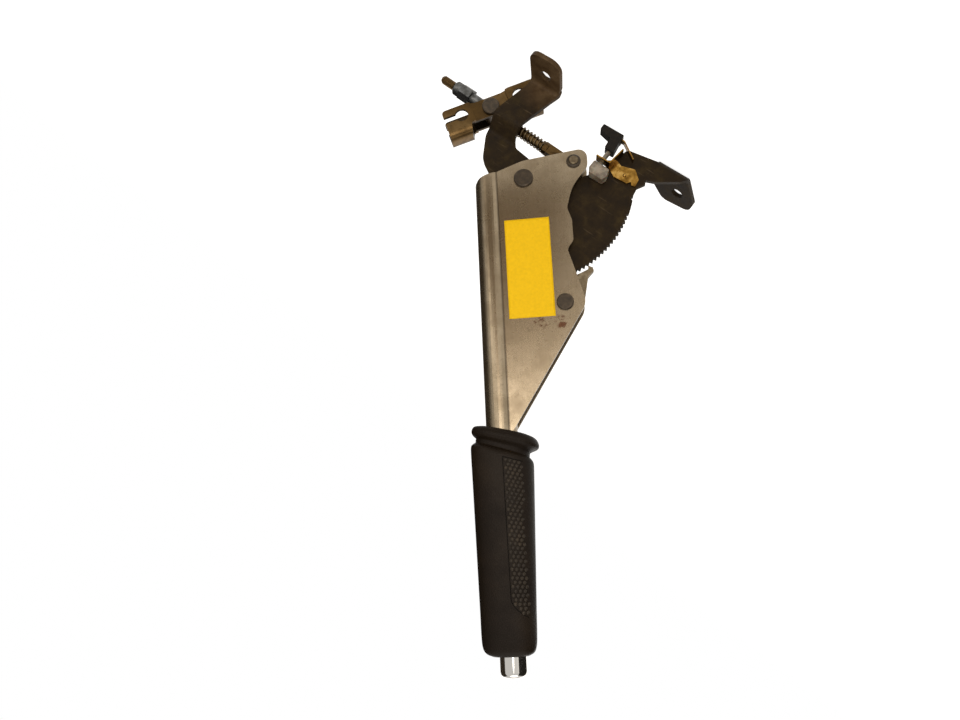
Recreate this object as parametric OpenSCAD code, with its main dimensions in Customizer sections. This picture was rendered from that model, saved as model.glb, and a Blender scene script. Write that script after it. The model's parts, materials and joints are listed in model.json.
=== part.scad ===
// Parking brake lever assembly.
// X points forward along the car, Y to the left, Z up. The origin is the centre of the two
// floor bolts, on the underside of the feet. The lever stands at its fully applied notch.
// Letters: u runs along the lever from its pivot to the button, v from the pivot towards the spine.

/* [Floor bolts] */
// Distance between the two floor bolts along the car
bolt_span_x = 106.7; // [100:0.1:114]
// Distance between the two floor bolts across the car
bolt_span_y = 45.4; // [38:0.1:52]
// Diameter of the floor bolt holes
bolt_hole_d = 8.5; // [6:0.1:10]

/* [Bracket] */
// Sheet thickness of the bracket
sheet = 3; // [2:0.1:3.6]
// Place of the lever pivot along the car
pivot_x = -27.8; // [-32:0.1:-24]
// Height of the lever pivot above the floor
pivot_z = 63; // [61:0.1:68]
// Radius of the round boss about the pivot
boss_r = 17.5; // [14:0.1:20]
// Radius over the tips of the ratchet teeth
sector_r = 70.8; // [69.5:0.1:72]
// Depth of a ratchet tooth
tooth_h = 1.6; // [1:0.1:1.9]
// Pitch of the ratchet teeth in degrees
tooth_pitch = 2.5; // [2:0.1:3]
// Ratchet teeth passed between fully applied and released
travel_teeth = 18; // [14:1:18]
// Ratchet gaps below the applied notch
gaps_below = 14; // [8:1:14]
// Ratchet gaps above the applied notch
gaps_above = 3; // [1:1:3]
// Height where the rear arm starts to joggle outwards
joggle_top = 43.5; // [42:0.1:46]
// Height where the joggle of the rear arm ends
joggle_bottom = 34.8; // [32:0.1:36]
// Inner bend radius of the feet
bend_r = 2.6; // [1:0.1:4]
// Width of the rear foot
rear_foot_w = 23; // [20:0.1:26]
// Distance from a bolt hole to the end of its foot
foot_end = 17; // [13:0.1:20]
// Width of the rear arm
rear_arm_w = 20.5; // [16:0.1:22]
// Lean of the rear arm from its foot to its joggle
rear_arm_lean = 6.5; // [3:0.1:8]
// Height of the front arm where it leaves the toothed sector
front_arm_h = 20; // [16:0.1:21]
// Length of the fold between the front arm and its foot
front_fold_w = 20; // [16:0.1:24]

/* [Lever] */
// Angle of the lever above the floor when applied, in degrees
lever_angle = 50.6; // [50:0.1:56]
// Width over the flanks of the lever
lever_w = 16; // [15:0.1:18]
// Sheet thickness of the lever
lever_wall = 1.6; // [1:0.1:2]
// Outer radius of the tubular spine
spine_r = 9.5; // [9:0.1:10.5]
// Distance of the spine axis from the pivot
spine_v = 22.5; // [21:0.1:24]
// Distance of the rear end of the spine from the pivot, along the lever
spine_rear = -2; // [-6:0.1:2]
// Distance of the front end of the tube from the pivot
tube_end = 285.5; // [270:0.5:300]
// Distance from the pivot to the end of the tapered flanks
flank_end = 166.3; // [155:0.1:172]
// Distance from the pivot down to the waist of the flanks
waist = 24.6; // [22:0.1:26]
// Depth of the switch lip below the waist
lip_depth = 4.2; // [3:0.1:4.5]
// Start of the switch lip along the lever
lip_start = 28; // [26:0.1:32]
// Length of the switch lip
lip_len = 20; // [12:0.1:22]
// Radius of the lever lobe about the clevis pin
clevis_lobe_r = 8.8; // [7.5:0.1:9.5]
// Radius of the lever lobe about the pawl pin
pawl_lobe_r = 11.6; // [10:0.1:13]

/* [Pins] */
// Radius of the pivot rivet shank
pivot_r = 5; // [4:0.1:6]
// Radius of the pivot rivet heads
pivot_head_r = 6.2; // [5.5:0.1:8]
// Radius of the pawl rivet shank
pawl_pin_r = 3.5; // [3:0.1:4]
// Radius of the pawl rivet heads
pawl_head_r = 5.3; // [4.6:0.1:6.5]
// Radius of the clevis pin
clevis_r = 3; // [2.5:0.1:3.4]
// Radius of the clevis pin head and of its push-on clip
clevis_head_r = 4.6; // [4.2:0.1:5.5]
// Height of the rivet heads
head_h = 1.7; // [1:0.1:2.4]
// Clevis pin along the lever
clevis_u = -8.8; // [-10:0.1:-7]
// Clevis pin across the lever
clevis_v = -32.7; // [-34:0.1:-31]
// Distance of the pawl pin outside the tips of the ratchet teeth
pawl_reach = 17.2; // [16.6:0.1:18]
// Angle from the lever axis to the pawl pin, in degrees
pawl_angle = -13.67; // [-14.4:0.01:-13]

/* [Pawl and button] */
// Thickness of the pawl
pawl_t = 4; // [3:0.1:5]
// Angle from the lever axis to the pawl nose, in degrees
nose_angle = -30.8; // [-32:0.1:-30.4]
// Angle that the pawl is lifted out of the teeth, in degrees
pawl_lift = 3.7; // [3.5:0.1:4.5]
// Radius of the pawl boss
pawl_boss_r = 9.6; // [8:0.1:10.5]
// Radius of the push rod
push_r = 2.5; // [2:0.1:3]
// Radius of the button
button_r = 7.5; // [6.5:0.1:7.6]
// Length of the button that shows past the grip
button_out = 11.6; // [9:0.1:14]
// Length of the button inside the tube
button_in = 24; // [18:0.5:30]
// Length of the button spring
button_spring_len = 32; // [28:0.5:36]
// Length of the push rod guide
guide_len = 10; // [8:0.5:14]
// Distance from the end of the tube to the end of the push rod inside the button
push_end = 9; // [6:0.5:12]
// Wire diameter of the button spring
button_wire = 1.1; // [0.8:0.05:1.3]

/* [Grip] */
// Length of the grip behind its collar
grip_len = 117; // [105:0.5:130]
// Height of the grip at its shoulder
grip_h = 37; // [35:0.1:42]
// Height of the grip at the button end
grip_end_h = 31; // [29:0.1:36]
// Width of the grip at its shoulder
grip_w = 31; // [28:0.1:36]
// Lean of the collar, in degrees
collar_lean = 14.5; // [6:0.5:16]

/* [Pull rod] */
// Radius of the pull rod
rod_r = 2.95; // [2.5:0.05:3.2]
// Length from the clevis pin to the threaded end
rod_len = 113.5; // [105:0.1:125]
// Droop of the rod towards the rear, in degrees
rod_droop = 3; // [0:0.5:5]
// Radius of the rod eye
eye_r = 6.5; // [5.5:0.1:6.8]
// Distance from the clevis pin to the spring seat
spring_seat = 24; // [20:0.5:28]
// Distance from the clevis pin to the trunnion
trunnion_s = 69.5; // [67:0.1:72]
// Radius of the trunnion body
trunnion_r = 6; // [5:0.1:6.5]
// Radius of the trunnion heads
trunnion_head_r = 5.8; // [5:0.1:6]
// Wire diameter of the rod spring
spring_wire = 1; // [0.7:0.05:1.1]
// Width of the adjuster nut across its flats
nut_flats = 10; // [9:0.1:11]
// Length of the hexagon of the adjuster nut
nut_len = 9; // [7:0.1:12]

/* [Equaliser] */
// Angle of the equaliser below the horizontal, in degrees
equaliser_angle = 56; // [52:0.5:58]
// Length of the equaliser
equaliser_len = 65; // [60:0.1:70]
// Depth of the equaliser from its open edge to its fold
equaliser_w = 21.3; // [19:0.1:23]
// Distance from the open edge of the equaliser to its trunnion
equaliser_back = 8.4; // [7.5:0.1:9.5]
// Sheet thickness of the equaliser
equaliser_sheet = 2; // [1.5:0.1:2.4]
// Width of the recessed middle of the equaliser
recess_w = 25; // [22:0.1:30]
// Height that the ends of the equaliser stand proud of its middle
recess_h = 1.3; // [0.8:0.1:1.6]
// Radius of the cable nipple holes
nipple_r = 4.5; // [3.5:0.1:5]
// Width of the cable slots
cable_slot = 4.6; // [3:0.1:6]
// Distance from an end of the equaliser to its cable nipple hole
nipple_in = 12; // [10.5:0.1:13]

/* [Warning switch] */
// Sheet thickness of the brass clip
brass = 0.8; // [0.5:0.05:1]
// Height of the plunger top above the floor
plunger_top = 36.6; // [35:0.1:36.9]
// Width of the switch across the car
switch_w = 7; // [6.4:0.1:7.4]
// Height of the brass shelf under the plunger
shelf_z = 24; // [22:0.1:25]
// Distance of the plunger behind the front floor bolt
switch_back = 46.9; // [46:0.1:48]
// Distance from the fold of the brass clip to its riveted tab
tab_reach = 6.4; // [5.5:0.1:7]

/* [Clearances] */
// Radial clearance of a pin in its hole
fit = 0.04; // [0.02:0.01:0.1]
// Gap between parts that slide or turn past each other
gap = 0.3; // [0.2:0.05:0.4]

/* [Hidden] */
$fn = 64;

steel = "#8f877b";
phosphate = "#3a2f25";
gold = "#a8863f";
brass_tint = "#c79a3c";

pivot = [pivot_x, pivot_z];
clevis = [clevis_u, clevis_v];
pawl_u = (sector_r + pawl_reach) * cos(pawl_angle);
pawl_v = (sector_r + pawl_reach) * sin(pawl_angle);
pawl_pivot = [pawl_u, pawl_v];
rear_hole = [-bolt_span_x / 2, bolt_span_y / 2];
front_hole = [bolt_span_x / 2, -bolt_span_y / 2];
lever_in = lever_w / 2 - lever_wall;
flank_y = lever_w / 2 - lever_wall / 2;
spine_top = spine_v + spine_r;
tube_bore_r = spine_r - lever_wall;
crease_v = spine_v - sqrt(spine_r * spine_r - lever_w * lever_w / 4);
travel = travel_teeth * tooth_pitch;
applied_gap = lever_angle + nose_angle;
released_gap = applied_gap - travel;
root_r = sector_r - tooth_h;
rod_angle = 180 + rod_droop;
spring_r = rod_r + 0.15 + spring_wire / 2;
recess_in = spring_r + spring_wire / 2 + gap;
recess_out = recess_in + equaliser_sheet;
equaliser_out = recess_out + recess_h;
rear_arm_y = equaliser_out + 2 * gap + sheet / 2;
grip_end = tube_end + 2;
grip_start = grip_end - grip_len;
guide_end = tube_end - button_in - button_spring_len;
shelf_top = shelf_z + brass / 2;
plunger_travel = 3;
switch_x = front_hole.x - switch_back;
switch_y = sheet / 2 + brass + switch_w / 2;
stem_r = 1.6;
stem_floor = 9;
pawl_arm_w = 6.8;

function unit(v) = v / norm(v);
function turned(p, a) = [p.x * cos(a) - p.y * sin(a), p.x * sin(a) + p.y * cos(a)];
function polar(r, a) = [r * cos(a), r * sin(a)];
function xy(p) = [p.x, p.y];
function lever_point(p) = pivot + turned(p, lever_angle);
function rod_point(s) = lever_point(clevis) + polar(s, rod_angle);

// Points of a round corner of radius r at b, between the edges to a and c
function corner(a, b, c, r, n = 6) =
    let (
        d1 = unit(a - b),
        d2 = unit(c - b),
        half = acos(max(-1, min(1, d1 * d2))) / 2,
        reach = min(r / tan(half), 0.48 * min(norm(a - b), norm(c - b))),
        rad = reach * tan(half),
        centre = b + unit(d1 + d2) * rad / sin(half),
        s = b + d1 * reach - centre,
        e = b + d2 * reach - centre,
        a0 = atan2(s.y, s.x),
        sweep = (atan2(e.y, e.x) - a0 + 540) % 360 - 180
    )
    [for (i = [0:n]) centre + polar(rad, a0 + sweep * i / n)];

// Closed outline whose points are [x, y, corner radius]
function rounded(pts, n = 6) =
    let (m = len(pts))
    [for (i = [0:m - 1])
        each pts[i][2] > 0
            ? corner(xy(pts[(i + m - 1) % m]), xy(pts[i]), xy(pts[(i + 1) % m]), pts[i][2], n)
            : [xy(pts[i])]];

// Open path whose inner points are [x, y, bend radius]
function bent(pts, n = 5) =
    let (m = len(pts))
    [for (i = [0:m - 1])
        each i > 0 && i < m - 1 && pts[i][2] > 0
            ? corner(xy(pts[i - 1]), xy(pts[i]), xy(pts[i + 1]), pts[i][2], n)
            : [xy(pts[i])]];

function left_of(d) = [-d.y, d.x];
function beside(path, i, w) =
    let (
        m = len(path),
        j = max(i, 1),
        k = min(i, m - 2),
        n0 = left_of(unit(path[j] - path[j - 1])),
        n1 = left_of(unit(path[k + 1] - path[k])),
        mid = unit(n0 + n1)
    )
    path[i] + mid * w / (mid * n0);

// Outline of a sheet of thickness t bent along a path
function strip(path, t) = concat(
    [for (i = [0:len(path) - 1]) beside(path, i, t / 2)],
    [for (i = [len(path) - 1:-1:0]) beside(path, i, -t / 2)]);

// An XZ outline as a plate of thickness t about the plane Y = y
module slab(t, y = 0) translate([0, y + t / 2, 0]) rotate([90, 0, 0]) linear_extrude(t) children();

// A YZ section swept along X
module along_x(x0, x1) translate([x0, 0, 0]) rotate([90, 0, 90]) linear_extrude(x1 - x0) children();

// A bar along Y at the XZ point p
module across(p, r, y0, y1) translate([p.x, y0, p.y]) rotate([-90, 0, 0]) cylinder(r = r, h = y1 - y0);

// A profile of [radius, length] points turned about X
module turned_x() rotate([0, 90, 0]) rotate_extrude() children();

// A profile of [radius, length] points turned about Y at the XZ point p
module turned_y(p) translate([p.x, 0, p.y]) rotate([-90, 0, 0]) rotate_extrude() children();

module lever_frame() translate([pivot.x, 0, pivot.y]) rotate([0, -lever_angle, 0]) children();

module rod_frame() translate([lever_point(clevis).x, 0, lever_point(clevis).y])
    rotate([0, -rod_angle, 0]) children();

module equaliser_frame() translate([rod_point(trunnion_s).x, 0, rod_point(trunnion_s).y])
    rotate([0, equaliser_angle, 0]) children();

// Round wire along a list of 3-D points
module wire(path, r, sides = 6) {
    m = len(path);
    ring = [for (i = [0:m - 1])
        let (
            d = unit(path[min(i + 1, m - 1)] - path[max(i - 1, 0)]),
            a = unit(cross(d, abs(d.x) < 0.8 ? [1, 0, 0] : [0, 0, 1])),
            b = cross(d, a)
        )
        for (k = [0:sides - 1]) path[i] + r * (a * cos(360 * k / sides) + b * sin(360 * k / sides))];
    skin = [for (i = [0:m - 2], k = [0:sides - 1])
        let (k2 = (k + 1) % sides)
        each [[i * sides + k, i * sides + k2, (i + 1) * sides + k2],
              [i * sides + k, (i + 1) * sides + k2, (i + 1) * sides + k]]];
    first = [[for (k = [sides - 1:-1:0]) k]];
    last = [[for (k = [0:sides - 1]) (m - 1) * sides + k]];
    polyhedron(ring, concat(skin, first, last), convexity = 8);
}

// Compression spring along X from x0 to x1, with a closed turn at each end
module coil(x0, x1, r, turns, d, steps = 12) {
    n = turns * steps;
    span = x1 - x0 - 3 * d;
    function rise(t) = t < 1 ? t * d : t > turns - 1 ? span + 2 * d - (turns - t) * d
        : d + (t - 1) * span / (turns - 2);
    wire([for (i = [0:n])
        let (t = i / steps)
        [x0 + d / 2 + rise(t), r * cos(360 * t), r * sin(360 * t)]], d / 2);
}

// A riveted pin along Y: shank, then a head with a softened rim on both flanks of the lever
module rivet(p, shank, head) {
    side = lever_w / 2;
    rim = head_h / 2;
    half = [[0, side + head_h], [head - rim, side + head_h], [head - 0.25 * rim, side + head_h - 0.3 * rim],
        [head, side + rim], [head, side], [shank, side]];
    turned_y(p) polygon(concat(half, [for (i = [len(half) - 1:-1:0]) [half[i].x, -half[i].y]]));
}

// Outline of one gap between ratchet teeth: lock face, root and ramp
function tooth_gap(a) = [
    polar(sector_r, a - 0.33 * tooth_pitch), polar(root_r, a - 0.03 * tooth_pitch),
    polar(root_r, a + 0.03 * tooth_pitch), polar(sector_r, a + 0.6 * tooth_pitch)];

// Toothed edge of the sector, from the front arm up to the last tooth
function toothed_edge() =
    let (
        land = applied_gap - gaps_below * tooth_pitch - 0.4 * tooth_pitch,
        low = released_gap - tooth_pitch,
        steps = 4
    )
    concat(
        [polar(sector_r, low)], tooth_gap(released_gap),
        [for (i = [1:steps]) polar(sector_r, released_gap + (land - released_gap) * i / steps)],
        [for (k = [-gaps_below:gaps_above]) each tooth_gap(applied_gap + k * tooth_pitch)],
        [polar(sector_r, applied_gap + (gaps_above + 1) * tooth_pitch)]);

module sector_plate() {
    heel = [front_hole.x - front_fold_w - 0.95 * front_arm_h, 0.33 * front_arm_h];
    front_edge = front_hole.x - front_fold_w + 2.5;
    edge = [for (p = toothed_edge()) pivot + p];
    land_foot = edge[0];
    slab(sheet) {
        difference() {
            polygon(concat(edge,
                [pivot + polar(boss_r, 75), pivot, pivot + [boss_r, -0.51 * boss_r],
                 pivot + [0.438 * sector_r, -0.388 * sector_r], [heel.x - 0.25 * front_arm_h, shelf_z], heel],
                [[heel.x + 0.2 * front_arm_h, 0.3 * front_arm_h], [front_edge, sheet],
                 [front_edge, front_arm_h - sheet / 2], [land_foot.x + 0.8 * sheet, front_arm_h + 0.2 * sheet],
                 land_foot - [0.2 * sheet, 1.5 * sheet]]));
            translate(pivot) circle(pivot_r + 3 + fit);
        }
        difference() {
            translate(pivot) circle(boss_r);
            translate(pivot) circle(pivot_r + 3 + fit);
        }
    }
}

// Rear arm: a strip that leaves the boss, joggles outwards past the equaliser and ends in a foot
module rear_arm() {
    left = rear_hole.x - rear_foot_w / 2;
    top_left = left - rear_arm_lean;
    right = top_left + rear_arm_w;
    boss = pivot + polar(boss_r, 120);
    outline = rounded([
        [boss.x, boss.y, 0], [left + 4, pivot.y + 1.5, 14], [top_left + 1, joggle_top + 4.5, 14],
        [top_left - 0.3, joggle_bottom, 12], [left, 8, 12], [left, -1, 0],
        [left + rear_foot_w, -1, 0], [left + rear_foot_w, sheet, 0], [left + rear_foot_w - 2.4, sheet + 7, 12],
        [right, joggle_bottom - 1, 12], [right - 0.4, joggle_top - 3, 5], [right + 3.5, joggle_top + 2, 4],
        [pivot.x - 8, pivot.y - boss_r + 1.5, 0], [pivot.x, pivot.y - boss_r + 6, 0]]);
    plan = rounded([
        [top_left - 4, -sheet, 0], [top_left - 4, rear_arm_y + sheet, 0], [left, rear_arm_y + sheet + bend_r, 3],
        [left, rear_hole.y + foot_end, 7], [left + rear_foot_w, rear_hole.y + foot_end, 8],
        [left + rear_foot_w, rear_arm_y + sheet + bend_r, 6], [left + rear_foot_w - 1, rear_arm_y + sheet / 2, 2],
        [pivot.x, rear_arm_y + sheet / 2, 0], [pivot.x, -sheet, 0]]);
    path = bent([
        [0, pivot.y + boss_r], [0, joggle_top, 5], [rear_arm_y, joggle_bottom, 5],
        [rear_arm_y, sheet / 2, bend_r + sheet / 2], [rear_hole.y + foot_end + 1, sheet / 2]]);
    difference() {
        intersection() {
            along_x(top_left - 5, pivot.x) polygon(strip(path, sheet));
            slab(4 * foot_end + bolt_span_y) polygon(outline);
            translate([0, 0, -1]) linear_extrude(pivot.y + 2 * boss_r) polygon(plan);
        }
        across(pivot, pivot_r + 3 + fit, -sheet, sheet);
        translate([rear_hole.x, rear_hole.y, -1]) cylinder(d = bolt_hole_d, h = sheet + 2);
    }
}

// Front foot: the front arm tapers down into a fold that carries the second bolt hole
module front_foot() {
    x0 = front_hole.x - front_fold_w + 2;
    x1 = front_hole.x + 4.5;
    path = bent([[0, front_arm_h], [0, sheet / 2, bend_r + sheet / 2],
        [front_hole.y - foot_end - 1, sheet / 2]]);
    top = front_arm_h - sheet / 2;
    outline = rounded([[x0, 1.2, 0], [x0, top, 0], [x0 + 6, top - 0.8 * sheet, 8],
        [x1 - 3.5, sheet + 4.5, 4], [x1 + 0.3, sheet, 0], [x1 + 12, sheet, 0], [x1 + 12, -1, 0],
        [x0 + 8, -1, 0]]);
    plan = rounded([[x0, sheet, 0], [front_hole.x - front_fold_w + 2, front_hole.y - 4, 6],
        [front_hole.x - 9, front_hole.y - foot_end, 7], [front_hole.x + 11.5, front_hole.y - foot_end + 3, 6],
        [front_hole.x + 13, front_hole.y - 3, 6], [x1, -bend_r, 0], [x1, sheet, 0]]);
    difference() {
        intersection() {
            along_x(x0, front_hole.x + 15) polygon(strip(path, sheet));
            slab(4 * foot_end + bolt_span_y) polygon(outline);
            translate([0, 0, -1]) linear_extrude(front_arm_h + 2) polygon(plan);
        }
        translate([front_hole.x, front_hole.y, -1]) cylinder(d = bolt_hole_d, h = sheet + 2);
    }
}

module base_bracket() color(phosphate) {
    sector_plate();
    rear_arm();
    front_foot();
}

module pivot_bush() color("#6d675f") {
    half = lever_in - gap / 2;
    turned_y(pivot) polygon([[pivot_r + fit, -half], [pivot_r + 3, -half], [pivot_r + 3, half],
        [pivot_r + fit, half]]);
}

// Keyhole section of the folded lever sheet: round spine and two flat flanks
module lever_section() difference() {
    union() {
        translate([0, spine_v]) circle(spine_r);
        translate([-lever_w / 2, -3 * waist]) square([lever_w, 3 * waist + spine_v]);
    }
    translate([0, spine_v]) circle(tube_bore_r);
    translate([-lever_in, -3 * waist - 1]) square([2 * lever_in, 3 * waist + spine_v + 1]);
}

// Side outline of the flanks and of the open part of the spine
function flank_outline() = rounded([
    [spine_rear, spine_top + 1, 8], [spine_rear - 4.3, crease_v, 4], [spine_rear - 10.6, 0, 24],
    [clevis_u - clevis_lobe_r, clevis_v - clevis_lobe_r, clevis_lobe_r],
    [clevis_u + 0.5 * clevis_lobe_r, clevis_v - clevis_lobe_r, clevis_lobe_r],
    [clevis_u + 1.95 * clevis_lobe_r, clevis_v + 0.24 * clevis_lobe_r, 30],
    [lip_start - 5, -waist - 0.4 * lip_depth, 6], [lip_start + 3.5, -waist - lip_depth, 8],
    [lip_start + lip_len - 2.5, -waist - lip_depth, 5], [lip_start + lip_len + 2.8, -waist, 4], [pawl_u + 1, pawl_v - 1.14 * pawl_lobe_r, pawl_lobe_r],
    [flank_end, crease_v, 0], [flank_end, spine_top + 1, 0]], 8);

// Flange that turns inwards from the lip of a flank and presses the switch
module lever_lip(side) {
    inner = sheet / 2 + brass + 2.5 * gap + 0.4;
    outer = lever_w / 2 - 0.6 * lever_wall;
    rise = lever_wall / 2 + 0.25;
    path = bent([[lip_start - 2.5, -waist - 0.58 * lip_depth + rise], [lip_start + 3.5, -waist - lip_depth + rise, 7],
        [lip_start + lip_len - 3, -waist - lip_depth + rise]]);
    slab(outer - inner, side * (outer + inner) / 2) polygon(strip(path, lever_wall));
}

module lever_arm() color(steel) lever_frame() difference() {
    union() {
        intersection() {
            along_x(-40, flank_end) lever_section();
            slab(3 * lever_w) polygon(flank_outline());
        }
        translate([flank_end - 14, 0, spine_v]) rotate([0, 90, 0]) difference() {
            cylinder(r = spine_r, h = tube_end - flank_end + 14);
            translate([0, 0, -1]) cylinder(r = tube_bore_r, h = tube_end);
        }
        lever_lip(1);
        lever_lip(-1);
    }
    across([0, 0], pivot_r + fit, -lever_w, lever_w);
    across(pawl_pivot, pawl_pin_r + fit, -lever_w, lever_w);
    across(clevis, clevis_r + fit, -lever_w, lever_w);
}

module pivot_pin() color("#54493d") lever_frame() rivet([0, 0], pivot_r, pivot_head_r);

module pawl_pin() color("#54493d") lever_frame() rivet(pawl_pivot, pawl_pin_r, pawl_head_r);

module pawl_spacers() color("#77716a") lever_frame() {
    for (side = [-1, 1]) {
        turned_y(pawl_pivot) polygon([
            for (p = [[pawl_pin_r + fit, pawl_t / 2 + gap], [pawl_pin_r + 1.4, pawl_t / 2 + gap],
                [pawl_pin_r + 1.4, lever_in], [pawl_pin_r + fit, lever_in]]) [p.x, side * p.y]]);
    }
}

// Hairpin spring about the left spacer, one leg on the pawl and one on the spine
module pawl_spring() color("#8a8378") lever_frame() {
    wire_d = 0.9;
    r = pawl_pin_r + 1.4 + gap + wire_d / 2;
    y0 = pawl_t / 2 + gap + wire_d;
    y1 = lever_in - gap - wire_d;
    turns = 2.25;
    steps = 36;
    a0 = 200;
    loop = [for (i = [0:steps])
        let (a = a0 + 360 * turns * i / steps)
        [pawl_u + r * cos(a), y0 + (y1 - y0) * i / steps, pawl_v + r * sin(a)]];
    a1 = a0 + 360 * turns;
    wire(concat(
        [[pawl_u + r * cos(a0) + 14 * sin(a0), y0, pawl_v + r * sin(a0) - 14 * cos(a0)]], loop,
        [[pawl_u + r * cos(a1) - 16 * sin(a1), y1, pawl_v + r * sin(a1) + 16 * cos(a1)]]), wire_d / 2);
}

// Pawl in its engaged place: nose in the applied gap, boss on its pin, arm up to the push rod
module engaged_pawl() {
    room = 0.16;
    face_r = sector_r + 0.6;
    low = nose_angle - 0.5 * tooth_pitch;
    heel = nose_angle + 0.45 * tooth_pitch;
    high = nose_angle + 4.2 * tooth_pitch;
    jaw = concat(
        [polar(face_r, low), polar(face_r, nose_angle - 0.3 * tooth_pitch),
         polar(root_r + room, nose_angle + 0.05 * tooth_pitch),
         polar(root_r + room, nose_angle + 0.08 * tooth_pitch)],
        [for (i = [0:5]) polar(face_r, heel + (high - heel) * i / 5)],
        [pawl_pivot + [-0.52, 0.52] * pawl_boss_r, pawl_pivot + [0, 0.3] * pawl_boss_r,
         pawl_pivot + [0.35, -0.9] * pawl_boss_r, pawl_pivot + [-0.4, -1.28] * pawl_boss_r,
         polar(sector_r + 0.3 * pawl_reach, nose_angle + 1.3 * tooth_pitch), polar(face_r + 2.6, low + 0.5)]);
    arm = rounded([
        [pawl_u - pawl_boss_r + 1.5, pawl_v + 1, 0], [pawl_u - pawl_arm_w / 2, spine_v + 4, 3],
        [pawl_u + pawl_arm_w / 2, spine_v + 4, 3], [pawl_u + pawl_boss_r - 1.5, pawl_v + 1, 0]]);
    difference() {
        union() {
            slab(pawl_t) polygon(jaw);
            slab(pawl_t) polygon(arm);
            across(pawl_pivot, pawl_boss_r, -pawl_t / 2, pawl_t / 2);
        }
        across(pawl_pivot, pawl_pin_r + fit, -pawl_t, pawl_t);
    }
}

module pawl() color("#9a9184") lever_frame() translate([pawl_u, 0, pawl_v])
    rotate([0, -pawl_lift, 0]) translate([-pawl_u, 0, -pawl_v]) engaged_pawl();

module clevis_pin() color("#4a4038") lever_frame() {
    side = lever_w / 2;
    turned_y(clevis) polygon([[0, -side - head_h], [clevis_head_r - 0.4, -side - head_h],
        [clevis_head_r, -side - head_h + 0.4], [clevis_head_r, -side], [clevis_r, -side],
        [clevis_r, side + head_h + 0.2], [clevis_r - 0.5, side + head_h + 0.7], [0, side + head_h + 0.7]]);
}

// Push-on clip that holds the clevis pin on the driver's side
module clevis_clip() color("#3d342c") lever_frame() {
    side = lever_w / 2;
    turned_y(clevis) polygon([[clevis_r + fit, side + 0.7], [clevis_head_r - 0.5, side],
        [clevis_head_r, side], [clevis_head_r, side + 0.7], [clevis_head_r - 0.8, side + 1.3],
        [clevis_r + fit, side + 1.5]]);
}

// Moulded grip as rings of [along, half height, half width, centre height, lean]
function grip_rings() =
    let (
        h0 = grip_h / 2,
        w0 = grip_w / 2,
        h1 = grip_end_h / 2,
        w1 = 0.43 * grip_end_h
    )
    concat(
        [[-8.7, h0 - 4, w0 - 4, -1.4, 0.95], [-7.6, h0 - 0.6, w0 - 0.8, -1.6, 0.95],
         [-5.6, h0 + 1.1, w0 + 0.6, -1.75, 0.95], [-3.6, h0 + 1.45, w0 + 0.9, -1.75, 0.95],
         [-1.8, h0 + 0.5, w0, -1.6, 1], [-0.7, h0 - 1.4, w0 - 1.8, -1, 1.1], [0.2, h0 - 2.6, w0 - 2.8, -0.2, 1.2],
         [2.6, h0 - 2.6, w0 - 2.8, 0.2, 1.25], [3.4, h0 - 1.6, w0 - 1.6, 0.4, 1.2],
         [5, h0 - 0.3, w0 - 0.3, 0.5, 1.16], [8, h0, w0, 0.5, 1.1]],
        [for (i = [1:6])
            let (t = i / 7)
            [8 + (grip_len - 16) * t, h0 + (h1 - h0) * t, w0 + (w1 - w0) * t, 0.5 + t, 1.1 * (1 - t)]],
        [[grip_len - 8, h1, w1, 1.5, 0], [grip_len - 3.5, h1 - 0.7, w1 - 0.6, 1.4, 0],
         [grip_len - 1.2, h1 - 2.2, w1 - 2, 1.1, 0], [grip_len, h1 - 4.6, w1 - 4, 0.8, 0]]);

module grip() color("#1c1a19") lever_frame() {
    sides = 32;
    rings = grip_rings();
    m = len(rings);
    squareness = 0.72;
    pts = [for (g = rings, k = [0:sides - 1])
        let (
            a = 360 * k / sides,
            c = cos(a),
            s = sin(a),
            v = g[1] * sign(s) * pow(abs(s), squareness)
        )
        [grip_start + g[0] - g[4] * v * tan(collar_lean), g[2] * sign(c) * pow(abs(c), squareness),
         spine_v + g[3] + v]];
    skin = [for (i = [0:m - 2], k = [0:sides - 1])
        let (k2 = (k + 1) % sides)
        each [[i * sides + k, (i + 1) * sides + k2, i * sides + k2],
              [i * sides + k, (i + 1) * sides + k, (i + 1) * sides + k2]]];
    first = [[for (k = [0:sides - 1]) k]];
    last = [[for (k = [sides - 1:-1:0]) (m - 1) * sides + k]];
    difference() {
        polyhedron(pts, concat(skin, first, last), convexity = 6);
        translate([grip_start - 40, 0, spine_v]) rotate([0, 90, 0])
            cylinder(r = spine_r + fit, h = tube_end + gap - grip_start + 40);
        translate([grip_start, 0, spine_v]) rotate([0, 90, 0]) cylinder(r = button_r + gap, h = 2 * grip_len);
        translate([flank_end - 40, -lever_w / 2 - gap, spine_v - spine_r - 6])
            cube([40 + 2 * gap, lever_w + 2 * gap, spine_r + 6]);
    }
}

// Plastic guide inside the tube that the push rod slides in and the button spring rests on
module rod_guide() color("#d8d2c4") lever_frame() translate([guide_end - guide_len, 0, spine_v])
    turned_x() polygon([[push_r + gap, 0], [tube_bore_r - fit, 0], [tube_bore_r - fit, guide_len],
        [push_r + gap, guide_len]]);

module push_rod() color("#8d867c") lever_frame() {
    face = pawl_u + pawl_arm_w / 2 + 0.9 - (spine_v - pawl_v) * tan(pawl_lift) + gap;
    tip = 1.2;
    translate([0, 0, spine_v]) turned_x() polygon([[0, face], [tip, face], [push_r, face + 1.2],
        [push_r, tube_end - push_end], [0, tube_end - push_end]]);
}

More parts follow.
